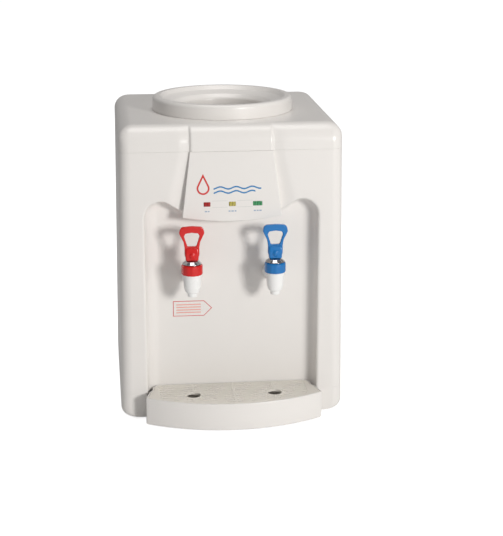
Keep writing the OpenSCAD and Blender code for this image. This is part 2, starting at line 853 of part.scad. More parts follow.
module power_board() {
    x = -126;
    y = front_y + 90;
    color([0.15, 0.4, 0.22]) union() {
        box(x - 1.6, x, y, y + 100, bottom_z + wall, 130);
        box(x - 0.5, x + 26, y + 8, y + 50, 40, 76);
        box(x - 0.5, x + 14, y + 62, y + 80, 44, 58);
        for (i = [0:2]) rod_x(y + 66 + i * 12, 96, 5, x - 0.5, x + 16);
        box(x - 0.5, x + 9, y + 10, y + 44, 106, 116);
    }
}

module switch_housings() {
    color(rubber_black) for (x = [-rocker_x, rocker_x]) difference() {
        union() {
            box(x - 7.4, x + 7.4, plate_y - 10, plate_y + plate_t + 0.5, rocker_z - 10.4, rocker_z + 10.4);
            box(x - 9.5, x + 9.5, plate_y + plate_t, plate_y + plate_t + 1.6,
                rocker_z - 12.5, rocker_z + 12.5);
        }
        box(x - 6, x + 6, plate_y - 4.5, plate_y + 9, rocker_z - 9.4, rocker_z + 9.4);
        rod_x(plate_y + 1.5, rocker_z, 1.06, x - 7, x + 7);
    }
}

// A rocker with its lower end out, on a pin that turns in the housing's walls.
module rocker(x) {
    y = plate_y + 1.5;
    outline = [[y - 4, rocker_z - 3], [y - 1, rocker_z - 8.3], [y + 3.6, rocker_z - 8.3],
        [y + 1.2, rocker_z], [y + 2, rocker_z + 8.3], [y - 1, rocker_z + 8.3], [y - 4, rocker_z + 3]];
    union() {
        slab_x(x - 5.6, x + 5.6) polygon(outline);
        rod_x(y, rocker_z, 1, x - 6.9, x + 6.9);
    }
}

module heat_switch() {
    color(hot_red) rocker(-rocker_x);
}

module cool_switch() {
    color([0.1, 0.5, 0.25]) rocker(rocker_x);
}

module drain_pipe() {
    color(white) difference() {
        union() {
            rod_y(0, drain_z, 5, seat_y + hot_r - 2, back_y - 2);
            rod_y(0, drain_z, 8, plate_y - 3, plate_y);
        }
        rod_y(0, drain_z, 3, seat_y + 40, back_y);
        rod_z(0, seat_y, hot_r + 0.1, 60, 100);
    }
}

module drain_cap() {
    color(white) difference() {
        union() {
            rod_y(0, drain_z, 9, plate_y + plate_t + 0.2, back_y - 0.3);
            for (a = [0:30:330]) translate([0, 0, drain_z]) rotate([0, a, 0])
                rod_y(9, 0, 0.7, plate_y + plate_t + 0.6, back_y - 0.8);
        }
        rod_y(0, drain_z, 5.06, plate_y, back_y - 1.9);
    }
}

module cord_gland() {
    color(rubber_black) difference() {
        union() {
            rod_y(-rocker_x, drain_z, 8.5, plate_y + plate_t, plate_y + plate_t + 3);
            rod_y(-rocker_x, drain_z, 6.1, plate_y - 8, plate_y + plate_t + 5);
        }
        rod_y(-rocker_x, drain_z, 3.2, plate_y - 9, plate_y + 12);
    }
}

base();
front_panel();
indicator_panel();
top_cover();
left_side_panel();
right_side_panel();
back_panel();
feet();
back_screws();
bottle_collar();
collar_seal();
funnel();
hot_lamp();
power_lamp();
cool_lamp();
lamp_board();
drip_tray();
drip_grille();
hot_tap_body();
hot_tap_cap();
hot_lever();
hot_lever_pin();
hot_stem();
hot_plug();
hot_spring();
hot_gasket();
hot_nut();
cold_tap_body();
cold_tap_cap();
cold_lever();
cold_lever_pin();
cold_stem();
cold_plug();
cold_spring();
cold_gasket();
cold_nut();
cold_tank();
tank_foam();
baffle();
cold_block();
peltier_module();
heat_sink();
fan_frame();
fan_rotor();
chassis();
hot_tank();
heater_band();
thermostats();
feed_hose();
cold_hose();
hot_hose();
power_board();
switch_housings();
heat_switch();
cool_switch();
drain_pipe();
drain_cap();
cord_gland();
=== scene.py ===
"""Countertop water dispenser: the finished look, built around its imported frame.

Sizes are in millimetres in the part's own frame: X to the right, Y from front to back, Z up.
"""

import json
import logging
import math
from collections.abc import Callable, Sequence
from dataclasses import dataclass
from enum import Enum
from typing import Any

import bmesh
import bpy
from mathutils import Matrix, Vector


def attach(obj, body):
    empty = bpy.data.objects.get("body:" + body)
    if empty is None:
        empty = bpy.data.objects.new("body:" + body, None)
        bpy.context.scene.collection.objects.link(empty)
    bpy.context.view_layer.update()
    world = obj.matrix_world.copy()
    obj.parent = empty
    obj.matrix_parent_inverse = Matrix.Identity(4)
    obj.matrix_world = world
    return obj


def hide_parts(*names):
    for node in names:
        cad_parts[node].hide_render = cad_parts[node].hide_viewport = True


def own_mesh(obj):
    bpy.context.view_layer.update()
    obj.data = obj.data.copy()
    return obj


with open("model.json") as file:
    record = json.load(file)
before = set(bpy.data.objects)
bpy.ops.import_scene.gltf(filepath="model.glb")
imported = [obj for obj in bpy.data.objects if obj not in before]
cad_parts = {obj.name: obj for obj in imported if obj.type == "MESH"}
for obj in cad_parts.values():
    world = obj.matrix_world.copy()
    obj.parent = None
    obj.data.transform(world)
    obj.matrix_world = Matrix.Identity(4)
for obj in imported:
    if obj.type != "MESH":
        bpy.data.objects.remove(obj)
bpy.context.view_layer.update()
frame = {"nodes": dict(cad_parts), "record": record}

log = logging.getLogger("dispenser")

MM = 0.001
PRINT_SINK = 0.05
Point2 = tuple[float, float]
Point3 = tuple[float, float, float]
Corner = tuple[float, float, float]
Colour = tuple[float, float, float]


class Body(Enum):
    """The moving groups that a piece can ride on."""

    CASING = "casing"
    TRAY = "tray"
    GRILLE = "grille"
    COLLAR = "collar"
    HOT_HANDLE = "hot_handle"
    COLD_HANDLE = "cold_handle"


class Axis(Enum):
    """The axis that a turned piece is spun about."""

    UPRIGHT = "z"
    FRONT_TO_BACK = "y"


# ---------------------------------------------------------------- plain helpers


def arc(cx: float, cy: float, r: float, start: float, end: float, steps: int) -> list[Point2]:
    """Gives the points of an arc.

    Args:
        cx: Centre on the first axis.
        cy: Centre on the second axis.
        r: Radius.
        start: First angle in degrees.
        end: Last angle in degrees.
        steps: Number of spans.

    Returns:
        The points, both ends among them.
    """
    angles = [math.radians(start + (end - start) * i / steps) for i in range(steps + 1)]
    return [(cx + r * math.cos(a), cy + r * math.sin(a)) for a in angles]


def spread(start: float, end: float, steps: int) -> list[float]:
    """Gives evenly spaced values, both ends among them.

    Args:
        start: First value.
        end: Last value.
        steps: Number of spans.

    Returns:
        The values.
    """
    return [start + (end - start) * i / steps for i in range(steps + 1)]


def mix(a: float, b: float, t: float) -> float:
    """Gives the value a share t of the way from a to b."""
    return a + (b - a) * t


def smoothstep(t: float) -> float:
    """Gives a soft rise from 0 to 1, held outside that span."""
    t = min(1.0, max(0.0, t))
    return t * t * (3 - 2 * t)


def rounded(corners: Sequence[Corner], steps: int = 5, closed: bool = True) -> list[Point2]:
    """Rounds the corners of a polygon.

    Args:
        corners: Each corner's two coordinates and its radius.
        steps: Spans in each rounded corner.
        closed: Whether the last corner joins the first.

    Returns:
        The rounded outline.
    """
    count = len(corners)
    made: list[Point2] = []
    for i, (x, y, r) in enumerate(corners):
        open_end = not closed and i in (0, count - 1)
        if r <= 0 or open_end:
            made.append((x, y))
            continue
        here = Vector((x, y))
        before = Vector(corners[i - 1][:2]) - here
        after = Vector(corners[(i + 1) % count][:2]) - here
        half_turn = before.angle(after) / 2
        cut = min(r / math.tan(half_turn), 0.49 * before.length, 0.49 * after.length)
        radius = cut * math.tan(half_turn)
        inwards = (before.normalized() + after.normalized()).normalized()
        middle = here + inwards * radius / math.sin(half_turn)
        start = here + before.normalized() * cut - middle
        end = here + after.normalized() * cut - middle
        turn = start.angle_signed(end)
        for k in range(steps + 1):
            a = -turn * k / steps
            made.append((
                middle.x + start.x * math.cos(a) - start.y * math.sin(a),
                middle.y + start.x * math.sin(a) + start.y * math.cos(a),
            ))
    return made


def offset(outline: Sequence[Point2], inset: float, closed: bool = True) -> list[Point2]:
    """Moves an outline to its left side.

    Args:
        outline: The points, in order.
        inset: How far each point moves.
        closed: Whether the last point joins the first.

    Returns:
        The moved points, as many as there were.
    """
    count = len(outline)
    moved: list[Point2] = []
    for i, (x, y) in enumerate(outline):
        before = outline[i - 1] if closed or i > 0 else outline[i]
        after = outline[(i + 1) % count] if closed or i < count - 1 else outline[i]
        along_in = Vector((x - before[0], y - before[1]))
        along_out = Vector((after[0] - x, after[1] - y))
        normals = [Vector((-v.y, v.x)).normalized() for v in (along_in, along_out) if v.length > 1e-6]
        total = sum(normals, Vector((0.0, 0.0)))
        normal = total.normalized()
        stretch = inset / max(0.5, normal.dot(normals[0]))
        moved.append((x + normal.x * stretch, y + normal.y * stretch))
    return moved


def mirrored(half: Sequence[Point2]) -> list[Point2]:
    """Adds an outline's other half, taken about the second axis.

    Args:
        half: Points from the right side to the middle; the last may lie on the axis.

    Returns:
        The points from the right side to the left side.
    """
    other = [(-x, y) for x, y in reversed(half) if abs(x) > 1e-6]
    return list(half) + other


# ---------------------------------------------------------------- meshes


class MeshDraft:
    """Collects points in millimetres and faces, then makes one clean mesh object of them."""

    def __init__(self) -> None:
        """Starts an empty draft."""
        self.points: list[Point3] = []
        self.faces: list[list[int]] = []

    def row(self, points: Sequence[Point3]) -> list[int]:
        """Adds points.

        Args:
            points: The points, in order.

        Returns:
            Their numbers in the draft.
        """
        start = len(self.points)
        self.points.extend(points)
        return list(range(start, len(self.points)))

    def skin(self, rows: Sequence[Sequence[Point3]], closed: bool = False) -> list[list[int]]:
        """Joins rows of equal length with quads.

        Args:
            rows: The rows of points.
            closed: Whether each row's last point joins its first.

        Returns:
            The numbers of each row's points.
        """
        numbers = [self.row(points) for points in rows]
        for low, high in zip(numbers, numbers[1:]):
            count = len(low)
            for i in range(count if closed else count - 1):
                j = (i + 1) % count
                self.faces.append([low[i], low[j], high[j], high[i]])
        return numbers

    def fill(self, ring: Sequence[int]) -> None:
        """Closes a flat ring with one face."""
        self.faces.append(list(ring))

    def loft(self, rings: Sequence[Sequence[Point3]]) -> None:
        """Joins closed rings of equal length and closes both ends.

        Args:
            rings: The rings, in order.
        """
        numbers = self.skin(rings, closed=True)
        self.fill(numbers[0])
        self.fill(numbers[-1])

    def turned(
        self, profile: Sequence[Point2], centre: Point3, axis: Axis = Axis.UPRIGHT, segments: int = 64,
        wave: Callable[[float, float, float], float] | None = None,
    ) -> None:
        """Spins a closed profile about an axis.

        Args:
            profile: Radius and height of each point, closed on itself.
            centre: A point on the axis; heights are measured from it.
            axis: The axis's direction.
            segments: Spans round the axis.
            wave: Gives the radius from the radius, the height and the angle.
        """
        rows = []
        for r, h in [*profile, profile[0]]:
            points = []
            for k in range(segments):
                a = 2 * math.pi * k / segments
                radius = wave(r, h, a) if wave else r
                u, v = radius * math.cos(a), radius * math.sin(a)
                if axis is Axis.UPRIGHT:
                    points.append((centre[0] + u, centre[1] + v, centre[2] + h))
                else:
                    points.append((centre[0] + u, centre[1] + h, centre[2] + v))
            rows.append(points)
        self.skin(rows, closed=True)

    def prism(self, outline: Sequence[Point2], z0: float, z1: float) -> None:
        """Adds an upright prism of a plan outline between two heights."""
        self.loft([[(x, y, z) for x, y in outline] for z in (z0, z1)])

    def build(self, name: str, inside: Point3 | None = None) -> bpy.types.Object:
        """Makes the mesh object, with its doubles merged and its faces turned outwards.

        Args:
            name: The object's name.
            inside: For an open skin, a point behind it.

        Returns:
            The new object, in metres, at the origin.
        """
        mesh = bpy.data.meshes.new(name)
        mesh.from_pydata([tuple(v * MM for v in p) for p in self.points], [], self.faces)
        work = bmesh.new()
        work.from_mesh(mesh)
        bmesh.ops.remove_doubles(work, verts=work.verts, dist=0.003 * MM)
        bmesh.ops.dissolve_degenerate(work, dist=0.001 * MM, edges=work.edges)
        bmesh.ops.recalc_face_normals(work, faces=work.faces)
        if inside is not None:
            behind = Vector(inside) * MM
            facing = sum(f.normal.dot(f.calc_center_median() - behind) * f.calc_area() for f in work.faces)
            if facing < 0:
                bmesh.ops.reverse_faces(work, faces=work.faces)
        work.to_mesh(mesh)
        work.free()
        made = bpy.data.objects.new(name, mesh)
        bpy.context.scene.collection.objects.link(made)
        return made


def settle(obj: bpy.types.Object) -> bpy.types.Object:
    """Turns an object and its modifiers into a plain mesh.

    Args:
        obj: The object.

    Returns:
        The same object, with no modifiers.
    """
    bpy.context.view_layer.update()
    graph = bpy.context.evaluated_depsgraph_get()
    mesh = bpy.data.meshes.new_from_object(obj.evaluated_get(graph), depsgraph=graph)
    obj.modifiers.clear()
    obj.data = mesh
    mesh.name = obj.name
    return obj


@dataclass(frozen=True)
class EdgeWork:
    """How a piece gets its wall, its broken edges and its even shading."""

    wall: float = 0.0
    edge: float = 0.4
    segments: int = 2
    limit: float = 40.0

    def apply(self, obj: bpy.types.Object) -> bpy.types.Object:
        """Gives a piece its wall thickness, rounded edges and shading.

        Args:
            obj: The piece.

        Returns:
            The same piece, as a plain mesh.
        """
        for face in obj.data.polygons:
            face.use_smooth = True
        if self.wall:
            solid = obj.modifiers.new("wall", "SOLIDIFY")
            solid.thickness = self.wall * MM
            solid.offset = -1
            solid.use_even_offset = False
        if self.edge:
            bevel = obj.modifiers.new("edges", "BEVEL")
            bevel.width = self.edge * MM
            bevel.segments = self.segments
            bevel.limit_method = "ANGLE"
            bevel.angle_limit = math.radians(self.limit)
        weighted = obj.modifiers.new("shading", "WEIGHTED_NORMAL")
        weighted.mode = "FACE_AREA"
        weighted.weight = 60
        return settle(obj)


EVEN = EdgeWork(0.0, 0.0)


# ---------------------------------------------------------------- finishes


class Recipe:
    """Builds one node material step by step."""

    def __init__(self, name: str) -> None:
        """Starts a material with a surface shader and object coordinates.

        Args:
            name: The material's name.
        """
        self.material = bpy.data.materials.new(name)
        self.material.use_nodes = True
        self.tree = self.material.node_tree
        self.tree.nodes.clear()
        output = self.tree.nodes.new("ShaderNodeOutputMaterial")
        self.shader = self.tree.nodes.new("ShaderNodeBsdfPrincipled")
        self.place = self.tree.nodes.new("ShaderNodeTexCoord").outputs["Object"]
        self.tree.links.new(self.shader.outputs["BSDF"], output.inputs["Surface"])

    def add(self, kind: str, values: dict | None = None, **settings: Any) -> bpy.types.Node:
        """Adds a node.

        Args:
            kind: The node's type.
            values: Input values or outputs to link, by input name or number.
            **settings: Attributes of the node itself.

        Returns:
            The new node.
        """
        made = self.tree.nodes.new(kind)
        for key, value in settings.items():
            setattr(made, key, value)
        for key, value in (values or {}).items():
            self.feed(made.inputs[key], value)
        return made

    def feed(self, socket: bpy.types.NodeSocket, value: object) -> None:
        """Links an output to a socket, or sets the socket's own value.

        Args:
            socket: The input socket.
            value: An output socket, or a plain value.
        """
        if isinstance(value, bpy.types.NodeSocket):
            self.tree.links.new(value, socket)
        else:
            socket.default_value = value

    def set(self, **values: object) -> None:
        """Sets or links the shader's inputs; an underscore in a name stands for a space."""
        for key, value in values.items():
            self.feed(self.shader.inputs[key.replace("_", " ")], value)

    def noise(
        self, scale: float, detail: float = 3.0, rough: float = 0.55, stretch: Point3 | None = None,
    ) -> bpy.types.NodeSocket:
        """Adds a noise pattern.

        Args:
            scale: Grains in a metre.
            detail: Layers of finer noise.
            rough: Strength of the finer layers.
            stretch: Scale along each axis, for a drawn-out grain.

        Returns:
            The noise's value.
        """
        where = self.place
        if stretch:
            mapping = self.add("ShaderNodeMapping", {"Vector": self.place, "Scale": stretch})
            where = mapping.outputs["Vector"]
        values = {"Vector": where, "Scale": scale, "Detail": detail, "Roughness": rough}
        return self.add("ShaderNodeTexNoise", values).outputs["Fac"]

    def span(self, source: bpy.types.NodeSocket, low: float, high: float) -> bpy.types.NodeSocket:
        """Maps a pattern onto a range of values.

        Args:
            source: The pattern's value.
            low: Result where the pattern is low.
            high: Result where the pattern is high.

        Returns:
            The mapped value.
        """
        values = {"Value": source, "From Min": 0.3, "From Max": 0.7, "To Min": low, "To Max": high}
        return self.add("ShaderNodeMapRange", values).outputs["Result"]

    def ramp(
        self, source: bpy.types.NodeSocket, stops: Sequence[tuple[float, Colour]],
    ) -> bpy.types.NodeSocket:
        """Colours a pattern.

        Args:
            source: The pattern's value.
            stops: Positions and their colours.

        Returns:
            The colour.
        """
        made = self.add("ShaderNodeValToRGB", {"Fac": source})
        while len(made.color_ramp.elements) < len(stops):
            made.color_ramp.elements.new(0.5)
        for element, (position, colour) in zip(made.color_ramp.elements, stops):
            element.position = position
            element.color = (*colour, 1.0)
        return made.outputs["Color"]

    def tint(self, pattern: bpy.types.NodeSocket, colour: Colour, dark: Point2, light: Point2) -> None:
        """Gives the shader a colour that a pattern darkens and lightens.

        Args:
            pattern: The pattern's value.
            colour: The colour.
            dark: Where the pattern is low, and the colour's factor there.
            light: Where the pattern is high, and the colour's factor there.
        """
        stops = [(place, shade(colour, factor)) for place, factor in (dark, light)]
        self.set(Base_Color=self.ramp(pattern, stops))

    def bump(self, height: bpy.types.NodeSocket, strength: float, distance: float) -> None:
        """Raises the surface by a pattern; the distance is in millimetres."""
        values = {"Height": height, "Strength": strength, "Distance": distance * MM}
        self.set(Normal=self.add("ShaderNodeBump", values).outputs["Normal"])


def shade(colour: Colour, factor: float) -> Colour:
    """Gives a lighter or darker form of a colour."""
    return tuple(min(1.0, c * factor) for c in colour)


@dataclass(frozen=True)
class Moulded:
    """Injection-moulded plastic: faint cloudiness, a fine skin and a soft gloss."""

    name: str
    colour: Colour
    roughness: float = 0.34
    cloud: float = 0.035
    skin: float = 0.05
    coat: float = 0.0
    grain: float = 1400.0

    def make(self) -> bpy.types.Material:
        """Builds the material.

        Returns:
            The material.
        """
        r = Recipe(self.name)
        clouds = r.noise(16.0, 4.0, 0.6)
        r.tint(clouds, self.colour, (0.3, 1 - self.cloud), (0.7, 1 + self.cloud * 0.5))
        r.set(IOR=1.5, Coat_Weight=self.coat, Coat_Roughness=0.08)
        r.set(Roughness=r.span(r.noise(30.0, 2.0), self.roughness * 0.96, self.roughness * 1.05))
        r.bump(r.noise(self.grain, 2.0), self.skin, 0.12)
        return r.material


@dataclass(frozen=True)
class Metal:
    """Bare or plated metal with a drawn grain."""

    name: str
    colour: Colour
    roughness: float = 0.3
    stretch: Point3 = (1.0, 1.0, 30.0)

    def make(self) -> bpy.types.Material:
        """Builds the material.

        Returns:
            The material.
        """
        r = Recipe(self.name)
        grain = r.noise(240.0, 4.0, 0.6, self.stretch)
        r.tint(grain, self.colour, (0.25, 0.86), (0.75, 1.06))
        r.set(Roughness=r.span(grain, self.roughness * 0.8, self.roughness * 1.25), Metallic=1.0)
        r.bump(grain, 0.08, 0.05)
        return r.material


@dataclass(frozen=True)
class Powder:
    """Powder-coated or plated sheet with a fine orange-peel skin."""

    name: str
    colour: Colour
    roughness: float = 0.5

    def make(self) -> bpy.types.Material:
        """Builds the material.

        Returns:
            The material.
        """
        r = Recipe(self.name)
        r.tint(r.noise(40.0), self.colour, (0.3, 0.93), (0.7, 1.04))
        r.set(Roughness=r.span(r.noise(120.0), self.roughness * 0.85, self.roughness * 1.15), Metallic=0.15)
        cells = r.add("ShaderNodeTexVoronoi", {"Vector": r.place, "Scale": 900.0}).outputs["Distance"]
        r.bump(cells, 0.12, 0.1)
        return r.material


@dataclass(frozen=True)
class Soft:
    """Rubber, silicone or beaded foam."""

    name: str
    colour: Colour
    roughness: float = 0.7
    beads: float = 700.0

    def make(self) -> bpy.types.Material:
        """Builds the material.

        Returns:
            The material.
        """
        r = Recipe(self.name)
        cells = r.add("ShaderNodeTexVoronoi", {"Vector": r.place, "Scale": self.beads}).outputs["Distance"]
        r.tint(cells, self.colour, (0.0, 1.05), (0.8, 0.85))
        r.set(Roughness=r.span(r.noise(150.0), self.roughness * 0.9, min(1.0, self.roughness * 1.1)))
        r.bump(cells, 0.2, 0.15)
        return r.material


@dataclass(frozen=True)
class Lens:
    """A tinted lamp lens with moulded flutes, with painted highlight and painted shade in bands across its
    tint.
    """

    name: str
    colour: Colour
    # The darker tint, used as painted shade in the flutes' troughs.
    deep: Colour

    def make(self) -> bpy.types.Material:
        """Builds the material.

        Returns:
            The material.
        """
        r = Recipe(self.name)
        values = {"Vector": r.place, "Scale": 150.0, "Distortion": 2.0, "Detail": 2.0}
        flutes = r.add("ShaderNodeTexWave", values, wave_type="BANDS", bands_direction="X").outputs["Fac"]
        patches = r.noise(420.0, 2.0)
        both = r.add("ShaderNodeMath", {0: flutes, 1: patches}, operation="MULTIPLY").outputs["Value"]
        # Base colour: painted highlight on the flute crests and painted shade in their troughs, broken into
        # patches.
        r.set(Base_Color=r.ramp(both, [(0.12, self.deep), (0.42, self.colour)]))
        r.set(Roughness=r.span(patches, 0.1, 0.22), Coat_Weight=0.6, Coat_Roughness=0.05)
        r.bump(flutes, 0.25, 0.2)
        return r.material


@dataclass(frozen=True)
class Ink:
    """Screen-printed ink or a printed film, slightly uneven."""

    name: str
    colour: Colour
    roughness: float = 0.45

    def make(self) -> bpy.types.Material:
        """Builds the material.

        Returns:
            The material.
        """
        r = Recipe(self.name)
        speckle = r.noise(1600.0, 3.0, 0.7)
        r.tint(speckle, self.colour, (0.3, 0.9), (0.75, 1.12))
        r.set(Roughness=r.span(speckle, self.roughness * 0.9, self.roughness * 1.1))
        r.bump(speckle, 0.06, 0.03)
        return r.material


FinishKind = Moulded | Metal | Powder | Soft | Lens | Ink

SLOT_FINISHES: dict[str, FinishKind] = {
    "casing_white": Moulded("casing_white", (0.80, 0.775, 0.747), 0.30, 0.008, 0.006),
    "tap_white": Moulded("tap_white", (0.87, 0.87, 0.86), 0.28, 0.02, 0.03),
    "inner_white": Moulded("inner_white", (0.79, 0.76, 0.73), 0.42, 0.03, 0.05),
    "grille_ivory": Moulded("grille_ivory", (0.82, 0.785, 0.72), 0.46, 0.04, 0.08),
    "hot_red": Moulded("hot_red", (0.64, 0.006, 0.005), 0.26, 0.08, 0.03, 0.2),
    "cold_blue": Moulded("cold_blue", (0.003, 0.165, 0.48), 0.26, 0.08, 0.03, 0.2),
    "rocker_green": Moulded("rocker_green", (0.02, 0.22, 0.06), 0.25, 0.06, 0.03, 0.3),
    "lamp_red": Lens("lamp_red", (0.55, 0.02, 0.02), (0.16, 0.004, 0.004)),
    "lamp_amber": Lens("lamp_amber", (0.66, 0.58, 0.14), (0.20, 0.17, 0.03)),
    "lamp_green": Lens("lamp_green", (0.08, 0.42, 0.16), (0.01, 0.10, 0.04)),
    "back_grey": Powder("back_grey", (0.36, 0.365, 0.37)),
    "foot_rubber": Soft("foot_rubber", (0.02, 0.02, 0.02), 0.8),
    "silicone": Soft("silicone", (0.66, 0.66, 0.62), 0.45, 300.0),
    "screw_steel": Metal("screw_steel", (0.62, 0.63, 0.64), 0.28),
    "tank_steel": Metal("tank_steel", (0.60, 0.61, 0.62), 0.32),
    "heater_steel": Metal("heater_steel", (0.28, 0.26, 0.25), 0.42),
    "zinc_sheet": Powder("zinc_sheet", (0.42, 0.44, 0.46), 0.38),
    "cooler_aluminium": Metal("cooler_aluminium", (0.72, 0.73, 0.74), 0.35),
    "foam_white": Soft("foam_white", (0.84, 0.84, 0.82), 0.85, 260.0),
    "ceramic_white": Moulded("ceramic_white", (0.74, 0.72, 0.66), 0.6, 0.04, 0.12),
    "board_green": Ink("board_green", (0.012, 0.095, 0.035), 0.35),
    "black_plastic": Moulded("black_plastic", (0.018, 0.018, 0.018), 0.45, 0.2, 0.1),
}

EXTRA_FINISHES: dict[str, FinishKind] = {
    "dark_chrome": Metal("dark_chrome", (0.42, 0.42, 0.44), 0.1, (6.0, 6.0, 1.0)),
    "print_red": Ink("print_red", (0.60, 0.03, 0.025)),
    "print_pink": Ink("print_pink", (0.78, 0.36, 0.31)),
    "print_blue": Ink("print_blue", (0.02, 0.20, 0.46)),
    "print_grey": Ink("print_grey", (0.36, 0.44, 0.56)),
    "print_line": Ink("print_line", (0.60, 0.60, 0.58)),
    "sticker_film": Ink("sticker_film", (0.80, 0.765, 0.74), 0.3),
}


class Finishes:
    """Makes each material once and hands it out by name."""

    def __init__(self) -> None:
        """Starts with no material made."""
        self.made: dict[str, bpy.types.Material] = {}

    def get(self, name: str) -> bpy.types.Material:
        """Gives a finish's material.

        Args:
            name: The finish's name.

        Returns:
            The material, made on its first use.
        """
        if name not in self.made:
            self.made[name] = {**SLOT_FINISHES, **EXTRA_FINISHES}[name].make()
        return self.made[name]

    def dress_frame(self) -> None:
        """Gives every CAD node the material of its record slot."""
        for row in frame["record"]["subparts"]:
            node = frame["nodes"][row["node"]]
            material = self.get(row["material_slot"])
            if not node.material_slots:
                node.data.materials.append(material)
            for slot in node.material_slots:
                slot.material = material


FINISHES = Finishes()


def fit(
    obj: bpy.types.Object, finish: str, body: Body, nodes: Sequence[str] = (),
) -> bpy.types.Object:
    """Dresses a finished piece and ties it to the frame.

    Args:
        obj: The piece.
        finish: The name of its finish.
        body: The body that it rides on.
        nodes: CAD nodes that it stands for.

    Returns:
        The same piece.
    """
    obj.data.materials.clear()
    obj.data.materials.append(FINISHES.get(finish))
    for face in obj.data.polygons:
        face.material_index = 0
    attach(obj, body.value)
    if nodes:
        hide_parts(*nodes)
    log.info("piece %s: %d faces", obj.name, len(obj.data.polygons))
    return obj


# ---------------------------------------------------------------- geometry-node trees


class NodeTool:
    """Builds one Geometry Nodes tree with named inputs and runs it on an object."""

    def __init__(self, name: str) -> None:
        """Starts a tree with one geometry input and one geometry output.

        Args:
            name: The tree's name.
        """
        self.tree = bpy.data.node_groups.new(name, "GeometryNodeTree")
        self.sockets: dict[str, str] = {}
        self.tree.interface.new_socket("Geometry", in_out="INPUT", socket_type="NodeSocketGeometry")
        self.tree.interface.new_socket("Geometry", in_out="OUTPUT", socket_type="NodeSocketGeometry")
        self.entry = self.tree.nodes.new("NodeGroupInput")
        self.values: dict[str, object] = {}

    def input(self, name: str, kind: str, value: object) -> bpy.types.NodeSocket:
        """Adds a named input.

        Args:
            name: The input's name.
            kind: The socket's type, without its prefix.
            value: The value that the modifier gives it.

        Returns:
            The input's socket inside the tree.
        """
        made = self.tree.interface.new_socket(name, in_out="INPUT", socket_type="NodeSocket" + kind)
        self.sockets[name] = made.identifier
        self.values[name] = value
        return self.entry.outputs[name]

    def add(self, kind: str, links: dict | None = None, **settings: Any) -> bpy.types.Node:
        """Adds a node.

        Args:
            kind: The node's type.
            links: Values or outputs for its inputs, by name or number.
            **settings: Attributes of the node itself.

        Returns:
            The new node.
        """
        made = self.tree.nodes.new(kind)
        for key, value in settings.items():
            setattr(made, key, value)
        for key, value in (links or {}).items():
            several = value if isinstance(value, list) else [value]
            for one in several:
                if isinstance(one, bpy.types.NodeSocket):
                    self.tree.links.new(one, made.inputs[key])
                else:
                    made.inputs[key].default_value = one
        return made

    def vector(self, x: object = 0.0, y: object = 0.0, z: object = 0.0) -> bpy.types.NodeSocket:
        """Joins three values or sockets into a vector socket."""
        return self.add("ShaderNodeCombineXYZ", {"X": x, "Y": y, "Z": z}).outputs["Vector"]

    def math(self, operation: str, first: object, second: object = 0.0) -> bpy.types.NodeSocket:
        """Adds a sum on one or two values or sockets."""
        return self.add("ShaderNodeMath", {0: first, 1: second}, operation=operation).outputs["Value"]

    def repeat(
        self, shape: bpy.types.NodeSocket, points: bpy.types.NodeSocket,
        scale: bpy.types.NodeSocket | None = None,
    ) -> bpy.types.NodeSocket:
        """Puts a shape on each point and makes the copies real.

        Args:
            shape: The shape.
            points: Where the copies go.
            scale: A scale for each copy, if they differ.

        Returns:
            The copies, as one mesh.
        """
        placed = self.add("GeometryNodeInstanceOnPoints", {"Points": points, "Instance": shape})
        if scale is not None:
            self.tree.links.new(scale, placed.inputs["Scale"])
        real = self.add("GeometryNodeRealizeInstances", {"Geometry": placed.outputs["Instances"]})
        return real.outputs["Geometry"]

    def along(self, count: object, start: object, step: object) -> bpy.types.NodeSocket:
        """Gives points in a straight line: how many, the first and the step between them."""
        links = {"Count": count, "Start Location": start, "Offset": step}
        return self.add("GeometryNodeMeshLine", links, mode="OFFSET").outputs["Mesh"]

    def cut(self, base: bpy.types.NodeSocket, tools: Sequence[bpy.types.NodeSocket]) -> bpy.types.NodeSocket:
        """Cuts meshes out of a mesh.

        Args:
            base: The mesh that is cut.
            tools: The meshes that cut it.

        Returns:
            What is left.
        """
        node = self.add("GeometryNodeMeshBoolean", operation="DIFFERENCE", solver="EXACT")
        self.tree.links.new(base, node.inputs["Mesh 1"])
        for mesh in tools:
            self.tree.links.new(mesh, node.inputs["Mesh 2"])
        return node.outputs["Mesh"]

    def run(
        self, obj: bpy.types.Object, result: bpy.types.NodeSocket, material: bpy.types.Material,
    ) -> bpy.types.Object:
        """Ends the tree, runs it on an object and keeps the plain mesh.

        Args:
            obj: The object that the tree works on.
            result: The tree's last geometry.
            material: The material that it sets.

        Returns:
            The same object, without the modifier.
        """
        real = self.add("GeometryNodeRealizeInstances", {"Geometry": result}).outputs["Geometry"]
        dressed = self.add("GeometryNodeSetMaterial", {"Geometry": real, "Material": material})
        leave = self.tree.nodes.new("NodeGroupOutput")
        self.tree.links.new(dressed.outputs["Geometry"], leave.inputs["Geometry"])
        modifier = obj.modifiers.new(self.tree.name, "NODES")
        modifier.node_group = self.tree
        for name, value in self.values.items():
            modifier[self.sockets[name]] = value
        return settle(obj)


# ---------------------------------------------------------------- casing


